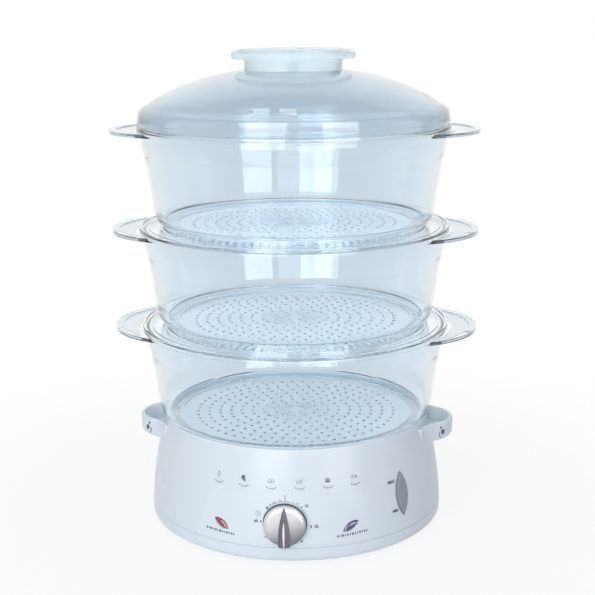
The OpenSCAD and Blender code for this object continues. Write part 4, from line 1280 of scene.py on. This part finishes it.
edge_points = []
slot_half = math.degrees(slot_w / 2 / floor_r)
for i in range(slots):
    middle = (i + 0.5) * 360 / slots
    for turn, radius in (
        (-180 / slots, floor_r), (-slot_half - 0.01, floor_r), (-slot_half, floor_r - slot_len),
        (slot_half, floor_r - slot_len), (slot_half + 0.01, floor_r),
    ):
        angle = math.radians(middle + turn)
        edge_points.append((radius * math.cos(angle), radius * math.sin(angle)))
outline_edges = ring_of(floor_form, edge_points)
hole_rings = int((floor_r - slot_len - hole_margin - hole_pitch) // hole_pitch)
for i in range(1, hole_rings + 1):
    count = int(math.tau * i)
    for k in range(1, count + 1):
        angle = math.tau * k / count
        cx, cy = i * hole_pitch * math.cos(angle), i * hole_pitch * math.sin(angle)
        outline_edges += ring_of(floor_form, [
            (cx + hole_r * math.cos(math.tau * j / hole_corners),
             cy + hole_r * math.sin(math.tau * j / hole_corners)) for j in range(hole_corners)
        ])
bmesh.ops.triangle_fill(floor_form, use_beauty=True, use_dissolve=False, edges=outline_edges)
raised = bmesh.ops.extrude_face_region(floor_form, geom=floor_form.faces[:], use_keep_orig=True)
bmesh.ops.translate(
    floor_form, vec=(0, 0, floor_t),
    verts=[v for v in raised["geom"] if isinstance(v, bmesh.types.BMVert)],
)
bmesh.ops.recalc_face_normals(floor_form, faces=floor_form.faces)
rib = turned_form(rounded([
    (floor_rib_r - floor_rib_w, floor_t - 0.2, 0), (floor_rib_r, floor_t - 0.2, 0),
    (floor_rib_r, floor_t + floor_rib_h, 0.3),
    (floor_rib_r - floor_rib_w, floor_t + floor_rib_h, 0.3),
]))
star_ribs = 40
star_in, star_out = 7, 30
star_w, star_h = 0.5, 0.3
star = []
for i in range(star_ribs):
    ray = block_form((star_in, -star_w / 2, floor_t - 0.1), (star_out, star_w / 2, floor_t + star_h))
    star.append(place(ray, turn_z(i * 360 / star_ribs)))
floor_mesh = bpy.data.meshes.new("floor_shape")
merged([floor_form, rib] + star).to_mesh(floor_mesh)
for name in rims:
    low_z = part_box("bowl_floor_" + name)[0].z / MM
    disc_form = bmesh.new()
    disc_form.from_mesh(floor_mesh)
    place(disc_form, Matrix.Translation((0, 0, low_z)))
    perforated = new_piece("perforated_floor_" + name, disc_form, 30)
    dress(perforated, floor_plastic)
    perforated.data.materials.append(hole_painted_shade)
    # Upright faces of the holes take the painted shade.
    for face in perforated.data.polygons:
        within = math.hypot(face.center.x, face.center.y) / MM < floor_rib_r - 2
        upright = abs(face.normal.z) < 0.3 and face.center.z / MM - low_z < floor_t
        face.material_index = 1 if within and upright else 0
    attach(perforated, bowl_bodies[name])
    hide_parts("bowl_floor_" + name)
bpy.data.meshes.remove(floor_mesh)

# Lid: a clear dome with an upright skirt, a bead that sits on the upper rim and a short
# spigot inside it, with two slots in front that let steam out.
lid_foot = rims["upper"] / MM
lid_r = rim_r - 1.25
lid_spigot_r = rim_r - 2.9
skirt_h = 13.5
dome_h = 30.7
crown_r = 43
crown_z = skirt_h + dome_h
dome_apex = 3.3
dome_t = 1.15 * wall
shoulder_in = 3.5


def dome_z(r, drop):
    """Height of the dome over the lid's foot, at a radius."""
    a, b = lid_r + 18, dome_h + dome_apex
    top = b * math.sqrt(1 - (crown_r / a) ** 2)
    foot = b * math.sqrt(1 - ((lid_r - shoulder_in) / a) ** 2)
    return skirt_h + dome_h * (b * math.sqrt(1 - (r / a) ** 2) - foot) / (top - foot) - drop


def dome_line(start, end, drop, steps=24):
    return [(start + (end - start) * i / steps, dome_z(start + (end - start) * i / steps, drop))
            for i in range(steps + 1)]


outside = dome_line(lid_r - shoulder_in - 2, crown_r + 1.5, 0)
inside = dome_line(crown_r, lid_r - shoulder_in - wall, dome_t)
foot = rounded([
    (lid_spigot_r, 0, 0.2), (lid_r + 0.5, 0, 0.5), (lid_r + 0.5, 3.4, 0.9), (lid_r, 4.6, 0.4),
    (lid_r - 1, skirt_h - 1.5, 2.2), (lid_r - shoulder_in, skirt_h + 0.4, 1.2),
    (*outside[0], 0),
])
inner_foot = rounded([
    (*inside[-1], 0), (lid_r - wall - 1.6, skirt_h - wall - 0.6, 1.8),
    (lid_spigot_r - wall, 3.4, 0.6), (lid_spigot_r - wall, -1.1, 0.4),
    (lid_spigot_r, -1.1, 0.4), (lid_spigot_r, 0, 0.1),
])[1:]
lid_line = foot[:-1] + outside + [(crown_r - 0.5, crown_z), (0, crown_z),
                                  (0, crown_z - dome_t)] + inside[:-1] + inner_foot
lid_plastic = clear_plastic(
    "lid_plastic", (0.62, 0.71, 0.78), (0.56, 0.655, 0.73), roughness=0.12, ior=1.15, gloss=0.6,
    rim=(0.66, 0.735, 0.795),
)
lid = turned("clear_lid", [(r, z + lid_foot) for r, z in lid_line])
vent_w, vent_d = 14, 5.5
vent_gap = 6.6
vent_az = -2.8
vent_r = 118
screw_hole_r = 2.1
lid_cuts = []
for side in (-1, 1):
    middle = side * (vent_w + vent_gap) / 2
    lid_cuts.append(place(block_form(
        (middle - vent_w / 2, -vent_r - vent_d / 2, lid_foot + skirt_h - 3),
        (middle + vent_w / 2, -vent_r + vent_d / 2, lid_foot + crown_z),
    ), turn_z(vent_az)))
lid_cuts.append(cylinder_form(screw_hole_r, lid_foot + crown_z - 8, lid_foot + crown_z + 4, 32))
combined(lid, lid_cuts, "DIFFERENCE", 32)
dress(lid, lid_plastic)
lid.data.materials.append(edge_painted_shade)
# The upright walls of the steam slots take the dark copy of the clear plastic as painted shade.
for face in lid.data.polygons:
    spot = turn_z(-vent_az) @ face.center / MM
    in_vent = abs(spot.y + vent_r) < vent_d / 2 + 0.2 and abs(spot.x) < vent_w + vent_gap / 2 + 0.2
    face.material_index = 1 if in_vent and abs(face.normal.z) < 0.3 else 0
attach(lid, "cover")
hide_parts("lid")

# Lid knob: a low round grip of frosted plastic, hollow underneath but for the post that takes
# its screw, which comes up from inside the lid.
grip_low, grip_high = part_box("lid_knob")
grip_top = grip_high.z / MM
grip_foot = grip_low.z / MM
grip_r = grip_high.x / MM
grip_h = 7.6
neck_r = 40.5
grip_wall = 2.5
screw_post_r = 6
screw_bore_r = 2.05
frosted_plastic = moulded(
    "frosted_plastic", (0.86, 0.925, 0.945), (0.81, 0.885, 0.915),
    roughness=0.45, spread=0.10, cloud=26, grain=1200, relief=0.00002,
    Transmission_Weight=0.85, IOR=1.2,
)
grip = turned("frosted_knob", rounded([
    (neck_r, grip_foot, 0.3), (neck_r, grip_top - grip_h, 1.2), (grip_r, grip_top - grip_h, 1.4),
    (grip_r, grip_top - 2.6, 1.2), (grip_r - 3.2, grip_top, 2.6), (0, grip_top, 0),
    (0, grip_top - grip_wall, 0), (neck_r - grip_wall, grip_top - grip_wall, 1),
    (neck_r - grip_wall, grip_foot, 0.3),
], 4))
combined(grip, [cylinder_form(screw_post_r, grip_foot, grip_top - 1, 48)], "UNION", 32)
combined(grip, [cylinder_form(screw_bore_r, grip_foot - 1, grip_top - 5, 32)], "DIFFERENCE", 32)
dress(grip, frosted_plastic)
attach(grip, "cover")
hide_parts("lid_knob")
